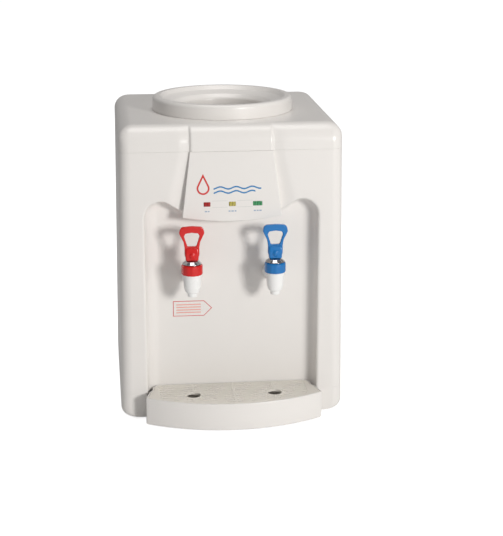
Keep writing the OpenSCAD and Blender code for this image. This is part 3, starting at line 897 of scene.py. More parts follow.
@dataclass
class CasingForm:
    """The casing's outer form, which its panels share."""

    floor_hw: float = 155.0
    top_hw: float = 150.0
    floor_z: float = 3.0
    top_z: float = 410.0
    front_y: float = -119.0
    back_y: float = 181.0
    front_r: float = 15.0
    rear_r: float = 21.0
    nose_r: float = 25.0
    edge_r: float = 19.0
    skirt_r: float = 13.0
    low_seam: float = 36.5
    high_seam: float = 376.0
    gap: float = 0.06
    wall: float = 2.5
    tongue_hw_top: float = 56.0
    tongue_hw_low: float = 67.0
    tongue_low_z: float = 288.0
    pad: float = 1.2
    cheek_top: float = 1.6
    cheek_low: float = 4.2
    cheek_width_top: float = 16.0
    cheek_width_low: float = 27.0
    cheek_start: float = 235.0
    cheek_rise: float = 55.0

    def half_width(self, z: float) -> float:
        """Gives the half-width at a height, with the bottom's round edge taken off.

        Args:
            z: The height.

        Returns:
            The half-width.
        """
        drafted = mix(self.floor_hw, self.top_hw, (z - self.floor_z) / (self.top_z - self.floor_z))
        below = self.floor_z + self.skirt_r - z
        if below <= 0:
            return drafted
        return drafted - self.skirt_r + math.sqrt(max(0.0, self.skirt_r**2 - below**2))

    def tongue_hw(self, z: float) -> float:
        """Gives the indicator panel's half-width at a height."""
        t = (z - self.tongue_low_z) / (self.high_seam - self.tongue_low_z)
        return mix(self.tongue_hw_low, self.tongue_hw_top, min(1.0, max(0.0, t)))

    def cheek(self, x: float, z: float) -> float:
        """Gives how far the front is scooped in beside the indicator panel.

        Args:
            x: Place across the front.
            z: Height.

        Returns:
            The depth of the scoop.
        """
        t = min(1.0, max(0.0, (z - self.tongue_low_z) / (self.high_seam - self.tongue_low_z)))
        depth = mix(self.cheek_low, self.cheek_top, t) * smoothstep((z - self.cheek_start) / self.cheek_rise)
        width = mix(self.cheek_width_low, self.cheek_width_top, t)
        return depth * (1 - smoothstep((abs(x) - self.tongue_hw(z)) / width))

    def side_plan(self, z: float, y_start: float, steps: int = 10) -> list[Point2]:
        """Gives the plan of the right side from a start in Y, round the rear edge.

        Args:
            z: Height of the plan.
            y_start: Where it starts.
            steps: Spans along the flat side.

        Returns:
            The points, ending where the rear edge's arc does.
        """
        hw = self.half_width(z)
        flat = [(hw, y) for y in spread(y_start, self.back_y - self.rear_r, steps)]
        return flat[:-1] + arc(hw - self.rear_r, self.back_y - self.rear_r, self.rear_r, 0, 90, 10)

    def front_corner(self, z: float) -> list[Point2]:
        """Gives the plan of the right front upright edge."""
        return arc(self.half_width(z) - self.front_r, self.front_y + self.front_r, self.front_r, -90, 0, 9)


@dataclass
class TopCover:
    """The cover: bullnose at the front, softer sides, and the well that takes the collar."""

    form: CasingForm
    hole_r: float = 84.0
    seat: Point2 = (0.0, 21.0)
    inner_r: float = 4.0
    rows: int = 12
    squeeze_x: float = 80.0
    step_x: float = 53.5
    step_w: float = 3.5
    scoop_x: float = 55.3
    fade_start: float = 0.55
    fade_run: float = 0.85
    front_xs: tuple[float, ...] = (
        0, 10, 20, 30, 40, 48, 52, 53.5, 54.5, 55.5, 56.3, 57, 58, 60.5, 63, 66, 69, 72, 76, 82,
        90, 100, 110, 120, 128,
    )

    def columns(self) -> list[tuple[Point2, Point2, float, float]]:
        """Gives the right half's columns: outer point, inner point, edge radius and pad share.

        Returns:
            Each column's outer point, inner point, edge radius and pad share.
        """
        f = self.form
        hw = f.half_width(f.high_seam)
        inner_hw = f.half_width(f.top_z) - f.edge_r
        inner_y = f.front_y + f.nose_r
        r = self.inner_r
        straight = hw - f.front_r
        found = []
        for x in [*self.front_xs, straight]:
            share = smoothstep((x - self.squeeze_x) / (straight - self.squeeze_x))
            squeeze = 1 - (straight - inner_hw + r) / straight * share
            found.append(((x, f.front_y), (x * squeeze, inner_y), f.nose_r, 1.0))
        outer_arc = arc(straight, f.front_y + f.front_r, f.front_r, -90, 0, 12)[1:]
        inner_arc = arc(inner_hw - r, inner_y + r, r, -90, 0, 12)[1:]
        for i, (a, b) in enumerate(zip(outer_arc, inner_arc)):
            found.append((a, b, mix(f.nose_r, f.edge_r, smoothstep((i + 1) / 12)), 0.0))
        outer_end, inner_end = f.back_y - f.rear_r, f.back_y - f.edge_r - r
        for t in spread(0, 1, 12)[1:-1]:
            outer = (hw, mix(f.front_y + f.front_r, outer_end, t))
            found.append((outer, (inner_hw, mix(inner_y + r, inner_end, t)), f.edge_r, 0.0))
        outer_arc = arc(hw - f.rear_r, outer_end, f.rear_r, 0, 90, 10)
        inner_arc = arc(inner_hw - r, inner_end, r, 0, 90, 10)
        found += [(a, b, f.edge_r, 0.0) for a, b in zip(outer_arc, inner_arc)]
        for t in spread(1, 0, 8)[1:]:
            outer, inner = ((hw - f.rear_r) * t, f.back_y), ((inner_hw - r) * t, f.back_y - f.edge_r)
            found.append((outer, inner, f.edge_r, 0.0))
        return found

    def relief(self, x: float, angle: float) -> float:
        """Gives how far the front stands out at a place on the bullnose: pad or scoop.

        Args:
            x: Place across the front.
            angle: Angle round the edge.

        Returns:
            The distance, inwards if it is negative.
        """
        f = self.form
        fade = 1 - smoothstep((angle - self.fade_start) / self.fade_run)
        step = 1 - smoothstep((abs(x) - self.step_x) / self.step_w)
        scoop = f.cheek(x, f.high_seam) if abs(x) > self.scoop_x else f.cheek_top
        return fade * (f.pad * step - scoop * (1 - step))

    def point(self, column: tuple[Point2, Point2, float, float], low: float, angle: float) -> Point3:
        """Gives a point of the cover's rounded shell.

        Args:
            column: The column's outer point, inner point, edge radius and pad share.
            low: Share of the upright part, from the seam up to where the edge starts.
            angle: Angle round the edge.

        Returns:
            The point.
        """
        f = self.form
        (ox, oy), (ix, iy), r, front = column
        start = f.high_seam + f.gap
        z = mix(start, f.top_z - r, low) if angle == 0 else f.top_z - r + r * math.sin(angle)
        share = math.cos(angle)
        x, y = ix + (ox - ix) * share, iy + (oy - iy) * share
        out = self.relief(ox, angle) if front else 0.0
        return x, y - out * share, z + out * math.sin(angle)

    def build(self) -> bpy.types.Object:
        """Builds and fits the cover.

        Returns:
            The piece.
        """
        f = self.form
        right = self.columns()
        left = [((-a[0], a[1]), (-b[0], b[1]), r, p) for a, b, r, p in right[1:-1]]
        ring = right + left[::-1]
        draft = MeshDraft()
        rows = [[self.point(c, low, 0.0) for c in ring] for low in (0.0, 0.12, 0.5, 1.0)]
        for angle in spread(0, math.pi / 2, self.rows)[1:]:
            rows.append([self.point(c, 1.0, angle) for c in ring])
        edge = rows[-1]
        for share in (0.04, 0.2, 0.45, 0.7, 0.9, 1.0):
            row = []
            for x, y, z in edge:
                turn = math.atan2(y - self.seat[1], x - self.seat[0])
                hole_x = self.seat[0] + self.hole_r * math.cos(turn)
                hole_y = self.seat[1] + self.hole_r * math.sin(turn)
                level = mix(z, f.top_z, min(1, share * 4))
                row.append((mix(x, hole_x, share), mix(y, hole_y, share), level))
            rows.append(row)
        draft.skin(rows, closed=True)
        obj = draft.build("top_shell", inside=(0, 30, 200))
        return fit(EdgeWork(f.wall, 0.3).apply(obj), "casing_white", Body.CASING, ["top_cover"])


@dataclass
class FrontShell:
    """The front panel with its arched recess, and the round upright edges beside it."""

    form: CasingForm
    recess_hw: float = 117.0
    shoulder_z: float = 308.0
    shoulder_r: float = 22.0
    dip: float = 14.0
    dip_run: float = 31.0
    crown_sag: float = 3.0
    depth: float = 25.0
    rim_r: float = 4.0
    fillet_r: float = 18.5
    crown_share: float = 0.55
    crown_hw: float = 80.0
    crown_run: float = 34.0
    return_y: float = -89.0
    spans: int = 16

    def outline(self) -> tuple[list[Point2], list[Point2]]:
        """Gives the recess's outline and the matching points of the panel's border, right side first.

        Returns:
            The outlines.
        """
        f = self.form
        low, high = f.low_seam + f.gap, f.high_seam - f.gap
        bend = self.shoulder_z - self.shoulder_r
        peak = self.recess_hw - self.shoulder_r
        edge: list[Point2] = []
        border: list[Point2] = []

        def side_x(z: float) -> float:
            """Gives the border's place on the right at a height."""
            return f.half_width(z) - f.front_r

        for z in spread(low, bend, 18)[:-1]:
            edge.append((self.recess_hw, z))
            border.append((side_x(z), z))
        for i, point in enumerate(arc(peak, bend, self.shoulder_r, 0, 90, 16)):
            edge.append(point)
            if i <= 8:
                z = mix(bend, high, i / 8)
                border.append((side_x(z), z))
            else:
                border.append((mix(side_x(high), peak, (i - 8) / 8), high))
        for t in spread(0, 1, 14)[1:]:
            x = peak - self.dip_run * t
            edge.append((x, self.shoulder_z - self.dip * (1 - math.cos(math.pi * t)) / 2))
            border.append((x, high))
        end_x, end_z = edge[-1]
        for t in spread(0, 1, 16)[1:]:
            x = end_x * (1 - t)
            edge.append((x, end_z - self.crown_sag * math.sin(math.pi / 2 * t)))
            border.append((x, high))
        return mirrored(edge), mirrored(border)

    def ease(self, place: Point2) -> float:
        """Gives the share of the section's width at a place on the outline: less under the crown."""
        return mix(self.crown_share, 1.0, smoothstep((abs(place[0]) - self.crown_hw) / self.crown_run))

    def profile(self) -> list[Point2]:
        """Gives the recess edge's section: distance inwards and depth.

        Returns:
            The section's points.
        """
        quarter = math.pi / 2
        rim = [
            (self.rim_r * (math.sin(a) - 1), self.rim_r * (1 - math.cos(a))) for a in spread(0, quarter, 6)
        ]
        r = self.fillet_r
        hollow = [(r - r * math.cos(a), self.depth - r + r * math.sin(a)) for a in spread(0, quarter, 12)]
        return rim + hollow

    def build(self) -> bpy.types.Object:
        """Builds and fits the front panel.

        Returns:
            The piece.
        """
        f = self.form
        edge, border = self.outline()
        draft = MeshDraft()
        section = self.profile()
        rim = offset(edge, section[0][0], closed=False)
        rows = []
        for t in spread(0, 1, self.spans):
            places = [(mix(b[0], p[0], t), mix(b[1], p[1], t)) for b, p in zip(border, rim)]
            rows.append([(x, f.front_y + f.cheek(x, z), z) for x, z in places])
        for inset, depth in section[1:]:
            share = 1 - depth / self.depth
            row = []
            for (x, z), near in zip(offset(edge, inset, closed=False), edge):
                x, z = mix(near[0], x, self.ease(near)), mix(near[1], z, self.ease(near))
                row.append((x, f.front_y + depth + f.cheek(x, z) * share, z))
            rows.append(row)
        numbers = draft.skin(rows)
        draft.fill(numbers[-1])
        heights = [z for (x, z) in border if x >= f.half_width(z) - f.front_r - 1e-6]
        for side in (1, -1):
            wrap = []
            for z in heights:
                corner = f.front_corner(z)
                flat = [(corner[-1][0], y) for y in spread(corner[-1][1], self.return_y, 3)[1:]]
                wrap.append([(side * x, y, z) for x, y in corner + flat])
            draft.skin(wrap)
        obj = draft.build("front_shell", inside=(0, 60, 200))
        return fit(EdgeWork(f.wall, 0.3).apply(obj), "casing_white", Body.CASING, ["front_panel"])


@dataclass
class SideShell:
    """One side panel, which turns the rear corner and ends in a narrow return."""

    form: CasingForm
    start_y: float = -88.6
    return_x: float = 118.0
    return_depth: float = 18.0

    def build(self, name: str, side: int, node: str) -> bpy.types.Object:
        """Builds and fits one side.

        Args:
            name: The piece's name.
            side: 1 on the right, -1 on the left.
            node: The CAD node that it stands for.

        Returns:
            The piece.
        """
        f = self.form
        rows = []
        for z in spread(f.low_seam + f.gap, f.high_seam - f.gap, 14):
            plan = f.side_plan(z, self.start_y)
            rear = [(x, f.back_y) for x in spread(plan[-1][0], self.return_x, 2)[1:]]
            inward = [(self.return_x, y) for y in spread(f.back_y, f.back_y - self.return_depth, 3)[1:]]
            rows.append([(side * x, y, z) for x, y in plan + rear + inward])
        draft = MeshDraft()
        draft.skin(rows)
        obj = draft.build(name, inside=(0, 30, 200))
        return fit(EdgeWork(f.wall, 0.3).apply(obj), "casing_white", Body.CASING, [node])


@dataclass
class BaseTub:
    """The base ring with its round bottom edges, and the bay that the tray hooks into."""

    form: CasingForm
    bay_hw: float = 119.0
    bay_y: float = -93.5
    lip_z: float = 6.0
    shelf: tuple[Point2, Point2] = ((-95.0, 95.0), (-153.0, -119.02))
    shelf_r: float = 8.0

    def plan(self, z: float, bay: bool) -> list[Point2]:
        """Gives the ring at a height, with or without the bay.

        Args:
            z: Height of the plan.
            bay: Whether the bay is cut into it.

        Returns:
            The ring, anticlockwise from the front's middle.
        """
        f = self.form
        y = self.bay_y if bay else f.front_y
        half = [(0.0, y), (self.bay_hw / 2, y), (self.bay_hw, y), (self.bay_hw, f.front_y)]
        half += f.front_corner(z) + f.side_plan(z, f.front_y + f.front_r + 10)
        half.append(((f.half_width(z) - f.rear_r) / 2, f.back_y))
        half.append((0.0, f.back_y))
        return half + [(-x, y) for x, y in reversed(half[1:-1])]

    def build(self) -> bpy.types.Object:
        """Builds and fits the base.

        Returns:
            The piece.
        """
        f = self.form
        draft = MeshDraft()
        top = f.low_seam - f.gap
        heights = [f.floor_z + f.skirt_r * (1 - math.cos(a)) for a in spread(0, math.pi / 2, 10)]
        low = [z for z in heights if z < self.lip_z]
        high = [self.lip_z] + [z for z in heights if z > self.lip_z] + [top]
        rows = [[(x, y, z) for x, y in self.plan(z, False)] for z in [*low, self.lip_z]]
        rows += [[(x, y, z) for x, y in self.plan(z, True)] for z in high]
        numbers = draft.skin(rows, closed=True)
        draft.fill(numbers[0])
        obj = draft.build("base_shell", inside=(0, 30, 30))
        obj = EdgeWork(f.wall, 0.3).apply(obj)
        self.ledge()
        return fit(obj, "casing_white", Body.CASING, ["base"])

    def ledge(self) -> bpy.types.Object:
        """Builds and fits the shelf that the tray slides over.

        Returns:
            The piece.
        """
        (x0, x1), (y0, y1) = self.shelf
        corners = [(x0, y0, self.shelf_r), (x1, y0, self.shelf_r), (x1, y1, 0.0), (x0, y1, 0.0)]
        draft = MeshDraft()
        draft.prism(rounded(corners), self.form.floor_z, self.lip_z)
        return fit(EdgeWork(0.0, 0.4).apply(draft.build("tray_shelf")), "casing_white", Body.CASING)


@dataclass
class IndicatorPanel:
    """The proud panel over the taps: its body, three lamps, printed lines and a plain emblem."""

    form: CasingForm
    sag: float = 6.0
    front_top: float = -120.5
    front_low: float = -127.0
    low_z: float = 281.0
    back_y: float = -113.5
    lamp_z: float = 305.5
    lamp_pitch: float = 34.0
    lens_hw: float = 4.6
    wide_lens_hw: float = 6.3
    lens_hh: float = 3.0
    mark_z: float = 295.0
    mark_h: float = 1.7
    mark_gap: float = 0.9
    emblem_x: float = -39.0
    emblem_z: float = 327.0
    drop_r: float = 8.6
    drop_tip: float = 19.5
    drop_line: float = 2.3
    ripple_h: float = 1.5
    ripple_half_w: float = 1.0
    film: float = 0.12
    columns: int = 24

    def face_y(self, z: float) -> float:
        """Gives the panel's front at a height."""
        return mix(self.front_low, self.front_top, (z - self.low_z) / (self.form.high_seam - self.low_z))

    def low_edge(self, u: float) -> float:
        """Gives the bowed lower edge's height at a share of the half-width.

        Args:
            u: Share of the half-width.

        Returns:
            The height.
        """
        f = self.form
        r = (f.tongue_hw_low**2 + self.sag**2) / 2 / self.sag
        return f.tongue_low_z - self.sag + r - math.sqrt(r * r - (u * f.tongue_hw_low) ** 2)

    def build(self) -> bpy.types.Object:
        """Builds and fits the panel.

        Returns:
            The piece.
        """
        f = self.form
        top = f.high_seam - f.gap
        draft = MeshDraft()
        sheets = []
        for back in (False, True):
            rows = []
            for v in spread(0, 1, 10):
                row = []
                for u in spread(-1, 1, self.columns):
                    z = mix(self.low_edge(u), top, v)
                    x = u * mix(f.tongue_hw_low, f.tongue_hw_top, v)
                    row.append((x, self.back_y if back else self.face_y(z), z))
                rows.append(row)
            sheets.append(rows)
        front, rear = sheets
        draft.skin(front)
        draft.skin(rear)
        for path in ((0, None), (-1, None)):
            draft.skin([front[path[0]], rear[path[0]]])
        for end in (0, -1):
            draft.skin([[row[end] for row in front], [row[end] for row in rear]])
        obj = EdgeWork(0.0, 0.9, 3, 50).apply(draft.build("indicator_tongue"))
        return fit(obj, "casing_white", Body.CASING, ["indicator_panel"])

    def lens(self, name: str, index: int, half_w: float, finish: str) -> bpy.types.Object:
        """Builds and fits one lamp's lens.

        Args:
            name: The piece's name, which is also the CAD node's with a suffix.
            index: Place in the row, from -1 to 1.
            half_w: Half its width.
            finish: Its finish.

        Returns:
            The lens.
        """
        x0 = index * self.lamp_pitch
        draft = MeshDraft()
        rows = []
        for inset, out in ((0.0, -2.0), (0.0, 0.25), (0.25, 0.6), (0.8, 0.85), (1.6, 0.95)):
            hw, hh = half_w - inset, self.lens_hh - inset
            corner = max(0.3, 0.9 - inset * 0.4)
            loop = rounded([(-hw, -hh, corner), (hw, -hh, corner), (hw, hh, corner), (-hw, hh, corner)], 4)
            rows.append([(x0 + x, self.face_y(self.lamp_z + z) - out, self.lamp_z + z) for x, z in loop])
        draft.loft(rows)
        obj = EVEN.apply(draft.build(name))
        return fit(obj, finish, Body.CASING, [name.replace("_lens", "_lamp")])

    def print_patch(
        self, name: str, outline: Sequence[Point2], finish: str, lift: float = 0.0,
    ) -> bpy.types.Object:
        """Prints a flat shape on the panel.

        Args:
            name: The piece's name.
            outline: The shape, in X and Z.
            finish: The ink.
            lift: Extra height over the panel.

        Returns:
            The thin printed piece.
        """
        draft = MeshDraft()
        rows = []
        for out in (-PRINT_SINK, self.film):
            rows.append([(x, self.face_y(z) - out - lift, z) for x, z in outline])
        draft.loft(rows)
        return fit(EVEN.apply(draft.build(name)), finish, Body.CASING)

    def dress(self) -> None:
        """Adds the lamps, the lines between them, the marks under them and the emblem."""
        self.lens("hot_lens", -1, self.lens_hw, "lamp_red")
        self.lens("power_lens", 0, self.lens_hw, "lamp_amber")
        self.lens("cool_lens", 1, self.wide_lens_hw, "lamp_green")
        for k, z in enumerate((self.lamp_z + 4.4, self.lamp_z - 4.2)):
            for side in (-1, 1):
                x0, x1 = sorted((side * 6.5, side * (self.lamp_pitch - 7.0)))
                bar = [(x0, z - 0.22), (x1, z - 0.22), (x1, z + 0.22), (x0, z + 0.22)]
                self.print_patch(f"lamp_line_{k}_{'left' if side < 0 else 'right'}", bar, "print_line")
        for index, widths in ((-1, (3.4, 2.2)), (0, (2.8, 3.6, 2.4)), (1, (3.0, 2.6, 3.2))):
            total = sum(widths) + self.mark_gap * (len(widths) - 1)
            x = index * self.lamp_pitch - total / 2
            for k, width in enumerate(widths):
                low, high, right = self.mark_z, self.mark_z + self.mark_h, x + width
                dash = rounded([(x, low, 0.5), (right, low, 0.5), (right, high, 0.5), (x, high, 0.5)], 3)
                self.print_patch(f"lamp_mark_{index + 1}_{k}", dash, "print_grey")
                x += width + self.mark_gap
        self.emblem()

    def drop(self, shrink: float) -> list[Point2]:
        """Gives a plain water drop's outline.

        Args:
            shrink: How far the outline is drawn in.

        Returns:
            The outline.
        """
        r, tip = self.drop_r - shrink, self.drop_tip - shrink * 2.2
        lean = math.degrees(math.asin(r / tip))
        bowl = arc(self.emblem_x, self.emblem_z, r, 180 - lean, 360 + lean, 28)
        return bowl + [(self.emblem_x, self.emblem_z + tip)]

    def emblem(self) -> None:
        """Adds the plain emblem: a red drop with a pale heart, and two blue ripples."""
        self.print_patch("emblem_drop", self.drop(0.0), "print_red")
        self.print_patch("emblem_heart", self.drop(self.drop_line), "sticker_film", 0.08)
        for k, (rise, end) in enumerate(((0.2, 39.0), (-5.4, 31.0))):
            level = self.emblem_z + rise
            crest = [(x, level + self.ripple_h * math.sin(x / 3.4)) for x in spread(-25.0, end, 48)]
            upper = [(x, z + self.ripple_half_w) for x, z in crest]
            lower = [(x, z - self.ripple_half_w) for x, z in reversed(crest)]
            self.print_patch(f"emblem_ripple_{k}", upper + lower, "print_blue")


@dataclass
class ArrowSticker:
    """A blank striped sticker on the recess wall, with one pointed end."""

    wall_y: float = -94.0
    left: float = -80.0
    right: float = -26.0
    low: float = 140.0
    high: float = 162.0
    point: float = 11.0
    border: float = 0.9
    film: float = 0.16
    stripes: int = 4
    stripe_w: float = 34.0
    stripe_h: float = 1.5
    stripe_z: float = 156.7
    stripe_pitch: float = 3.8

    def shape(self, inset: float) -> list[Point2]:
        """Gives the pentagon, drawn in by an inset.

        Args:
            inset: How far it is drawn in.

        Returns:
            The outline.
        """
        mid = (self.low + self.high) / 2
        neck = self.right - self.point
        return [
            (self.left + inset, self.low + inset), (neck - inset * 0.4, self.low + inset),
            (self.right - inset * 1.4, mid), (neck - inset * 0.4, self.high - inset),
            (self.left + inset, self.high - inset),
        ]

    def layer(self, name: str, outline: Sequence[Point2], finish: str, out: float) -> bpy.types.Object:
        """Adds one flat layer of the sticker, its face at a distance from the wall.

        Args:
            name: The piece's name.
            outline: The layer's outline.
            finish: Its finish.
            out: How far it stands out from the wall.

        Returns:
            The piece.
        """
        draft = MeshDraft()
        draft.loft([[(x, self.wall_y - y, z) for x, z in outline] for y in (-PRINT_SINK, out)])
        return fit(EVEN.apply(draft.build(name)), finish, Body.CASING)

    def build(self) -> None:
        """Builds the film, its outline and its stripes."""
        self.layer("sticker_border", self.shape(0.0), "print_red", 0.10)
        self.layer("sticker_film", self.shape(self.border), "sticker_film", self.film)
        tool = NodeTool("sticker_stripes")
        count = tool.input("Stripes", "Int", self.stripes)
        pitch = tool.input("Pitch", "Float", -self.stripe_pitch * MM)
        width = tool.input("Length", "Float", self.stripe_w * MM)
        middle = (self.left + self.right - self.point) / 2
        start = (middle * MM, (self.wall_y - self.film) * MM, self.stripe_z * MM)
        bar = tool.add("GeometryNodeMeshCube", {"Size": tool.vector(width, 0.12 * MM, self.stripe_h * MM)})
        lines = tool.along(count, start, tool.vector(0.0, 0.0, pitch))
        seed = MeshDraft().build("sticker_stripes")
        made = tool.run(seed, tool.repeat(bar.outputs["Mesh"], lines), FINISHES.get("print_pink"))
        fit(made, "print_pink", Body.CASING)


# ---------------------------------------------------------------- bottle seat


@dataclass
class BottleSeat:
    """The collar round the bottle and the deep funnel under it."""

    seat: Point2 = (0.0, 21.0)
    top_z: float = 410.0

    def collar(self) -> bpy.types.Object:
        """Builds and fits the collar.

        Returns:
            The piece.
        """
        t = self.top_z
        corners = [
            (95.5, t, 0.6), (98.5, t, 0.8), (98.5, t + 20, 5.5), (88.0, t + 20, 2.5),
            (82.5, t + 14.6, 4.0), (70.0, t + 10.0, 4.0), (64.0, t + 4.5, 5.0), (63.5, t - 9, 0.8),
            (66.0, t - 9, 0.8), (66.5, t + 3, 3.0), (79.0, t + 8, 1.0), (79.0, t - 8, 0.6),
            (81.5, t - 8, 0.6), (81.5, t + 10, 2.0), (95.5, t + 14, 3.0),
        ]
        draft = MeshDraft()
        draft.turned(rounded(corners, 6), (*self.seat, 0.0), segments=128)
        obj = EVEN.apply(draft.build("collar_ring"))
        return fit(obj, "casing_white", Body.COLLAR, ["bottle_collar"])

    def funnel(self) -> bpy.types.Object:
        """Builds and fits the funnel.

        Returns:
            The piece.
        """
        t = self.top_z
        corners = [
            (10.0, 314.0, 0), (76.0, 314.0, 1), (76.0, 317.0, 1), (32.0, 317.0, 1),
            (32.0, 351.0, 5), (62.5, t - 13, 4), (76.0, t - 13, 1), (76.0, t - 10, 1),
            (61.0, t - 10, 5), (29.5, t - 58, 6), (29.5, 318.0, 1), (10.0, 318.0, 1),
        ]
        draft = MeshDraft()
        draft.turned(rounded(corners, 6), (*self.seat, 0.0), segments=112)
        obj = EVEN.apply(draft.build("funnel_bowl"))
        return fit(obj, "inner_white", Body.CASING, ["funnel"])


# ---------------------------------------------------------------- taps


@dataclass
class Tap:
    """One tap: spring, white spout, coloured cap with flats, bright plate and looped lever."""

    prefix: str
    x: float
    colour: str
    handle: Body
    tap_y: float = -141.0
    wall_y: float = -94.0
    spout_z: float = 183.0
    inlet_z: float = 203.0
    cap_r: float = 14.5
    flat_count: int = 12
    lever_t: float = 5.6
    spring_r: float = 4.4
    wire_r: float = 0.45
    spring_low: float = 21.7
    spring_high: float = 39.4
    spring_turns: int = 6
    turn_spans: int = 20
    stem_rise: float = 3.0

    def spout(self) -> bpy.types.Object:
        """Builds and fits the white body with its tube and wall flange.

        Returns:
            The piece.
        """
        z = self.spout_z
        corners = [
            (4.5, z, 0.4), (6.3, z, 0.8), (6.9, z + 5.0, 1.0), (9.4, z + 6.6, 1.6), (11.2, z + 13, 3),
            (12.0, z + 21, 6), (12.5, z + 31, 0.6), (7.0, z + 31, 0.5), (7.0, z + 13, 1), (4.5, z + 13, 0.5),
        ]
        draft = MeshDraft()
        draft.turned(rounded(corners, 5), (self.x, self.tap_y, 0.0), segments=72)
        start, flange, tail = self.tap_y + 8, self.wall_y - 5, self.wall_y + 13
        tube = [
            (4.0, start, 0.3), (6.5, start, 0.3), (6.5, flange, 2.0), (12.0, flange, 1.0),
            (12.0, flange + 3, 0.5), (6.5, flange + 3, 0.3), (6.5, tail, 0.3), (4.0, tail, 0.3),
        ]
        draft.turned(rounded(tube, 4), (self.x, 0.0, self.inlet_z), Axis.FRONT_TO_BACK, 56)
        obj = EVEN.apply(draft.build(f"{self.prefix}_spout"))
        return fit(obj, "tap_white", Body.CASING, [f"{self.prefix}_tap_body"])

    def flats(self, r: float, h: float, angle: float) -> float:
        """Gives the cap's radius at an angle: wide flats on its skirt, round elsewhere.

        Args:
            r: The profile's radius.
            h: The height.
            angle: The angle.

        Returns:
            The radius there.
        """
        z = self.spout_z + 31
        if r < self.cap_r - 1 or not z + 0.2 < h < z + 13.5:
            return r
        sector = 2 * math.pi / self.flat_count
        turn = (angle % sector) - sector / 2
        flat = r * math.cos(sector / 2) / math.cos(turn)
        return min(r - 0.12, flat + 0.15)

    def cap(self) -> bpy.types.Object:
        """Builds and fits the coloured cap with its gripping flats.

        Returns:
            The piece.
        """
        z, r = self.spout_z + 31, self.cap_r
        corners = [
            (2.6, z + 9.5, 0.3), (10.6, z + 9.5, 0.3), (10.6, z + 0.3, 0.3), (r - 0.6, z + 0.3, 0.5),
            (r, z + 1.4, 0.8),
            (r, z + 12.2, 1.0), (r - 1.2, z + 13.8, 1.2), (2.6, z + 14.4, 0.3),
        ]
        draft = MeshDraft()
        draft.turned(rounded(corners, 4), (self.x, self.tap_y, 0.0), segments=144, wave=self.flats)
        obj = EVEN.apply(draft.build(f"{self.prefix}_cap"))
        return fit(obj, self.colour, Body.CASING, [f"{self.prefix}_tap_cap"])

    def plate(self) -> bpy.types.Object:
        """Builds and fits the bright plate that the lever rocks on.

        Returns:
            The piece.
        """
        z = self.spout_z + 45.2
        corners = [
            (2.6, z, 0.1), (12.6, z, 0.4), (13.0, z + 0.9, 0.5), (9.2, z + 4.2, 1.4),
            (7.4, z + 5.2, 0.8), (2.6, z + 5.2, 0.3),
        ]
        draft = MeshDraft()
        draft.turned(rounded(corners, 5), (self.x, self.tap_y, 0.0), segments=64)
        obj = EVEN.apply(draft.build(f"{self.prefix}_rocker_plate"))
        return fit(obj, "dark_chrome", Body.CASING)

    def lever(self) -> bpy.types.Object:
        """Builds and fits the lever: a looped blade on a solid hub.

        Returns:
            The piece.
        """
        z = self.spout_z + 54
        outer = both_sides([
            (0.0, 1.0, 0), (9.0, 1.0, 1.5), (10.0, 4.0, 3), (9.8, 14.0, 8),
            (11.2, 22.0, 14), (16.9, 33.5, 5), (15.2, 42.0, 5.5), (0.0, 43.0, 0),
        ])
        window = both_sides([
            (0.0, 15.5, 0), (5.8, 15.5, 2.0), (10.4, 29.5, 3.4), (8.4, 33.4, 2.4), (0.0, 34.4, 0),
        ])
        draft = MeshDraft()
        outer_ring, inner_ring = even_loop(outer, 96), even_loop(window, 96)
        t = self.lever_t / 2
        rows = []
        sides = ((outer_ring, -t), (outer_ring, t), (inner_ring, t), (inner_ring, -t), (outer_ring, -t))
        for loop, y in sides:
            rows.append([(self.x + px, self.tap_y + y, z + pz) for px, pz in loop])
        draft.skin(rows, closed=True)
        blade = draft.build(f"{self.prefix}_loop_lever")
        hub = MeshDraft()
        rows = []
        levels = ((-3.4, 7.8, 4.6), (-2.6, 8.6, 5.4), (6.0, 9.2, 5.4), (12.0, 8.8, 4.2), (14.0, 8.2, 3.0))
        for h, hw, hd in levels:
            ring = rounded([(-hw, -hd, 2.2), (hw, -hd, 2.2), (hw, hd, 2.2), (-hw, hd, 2.2)], 4)
            rows.append([(self.x + px, self.tap_y + py, z + h) for px, py in ring])
        hub.loft(rows)
        boss = [
            (0.0, -7.0), (2.0, -7.0), (2.8, -6.6), (3.1, -5.8),
            (4.3, -5.8), (4.6, -5.2), (4.6, -4.0), (0.0, -4.0),
        ]
        hub.turned(boss, (self.x, self.tap_y, z + 3.4), Axis.FRONT_TO_BACK, 40)
        obj = join(EdgeWork(0.0, 1.1, 3, 50).apply(blade), EVEN.apply(hub.build("hub")))
        return fit(obj, self.colour, self.handle, [f"{self.prefix}_lever"])

    def spring(self) -> bpy.types.Object:
        """Builds and fits the valve's spring at one length; the real spring shortens as the stem rises.

        Returns:
            The piece.
        """
        low, high = self.spout_z + self.spring_low, self.spout_z + self.spring_high
        spans = self.spring_turns * self.turn_spans
        rows = []
        for i in range(spans + 1):
            a = 2 * math.pi * i / self.turn_spans
            rows.append([
                (self.x + u * math.cos(a), self.tap_y + u * math.sin(a), mix(low, high, i / spans) + v)
                for u, v in arc(self.spring_r, 0.0, self.wire_r, 0, 315, 7)
            ])
        draft = MeshDraft()
        draft.loft(rows)
        obj = EVEN.apply(draft.build(f"{self.prefix}_valve_spring"))
        fit(obj, "screw_steel", Body.CASING, [f"{self.prefix}_spring"])
        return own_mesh(obj)

    def build(self) -> None:
        """Builds every piece of the tap."""
        self.spring()
        self.spout()
        self.cap()
        self.plate()
        self.lever()


def both_sides(half: Sequence[Corner]) -> list[Point2]:
    """Rounds an outline that is the same on both sides of the second axis.

    Args:
        half: Its right half's corners, from the axis round to the axis.

    Returns:
        The whole outline.
    """
    return rounded([*half, *((-x, h, r) for x, h, r in reversed(half[1:-1]))], 6)


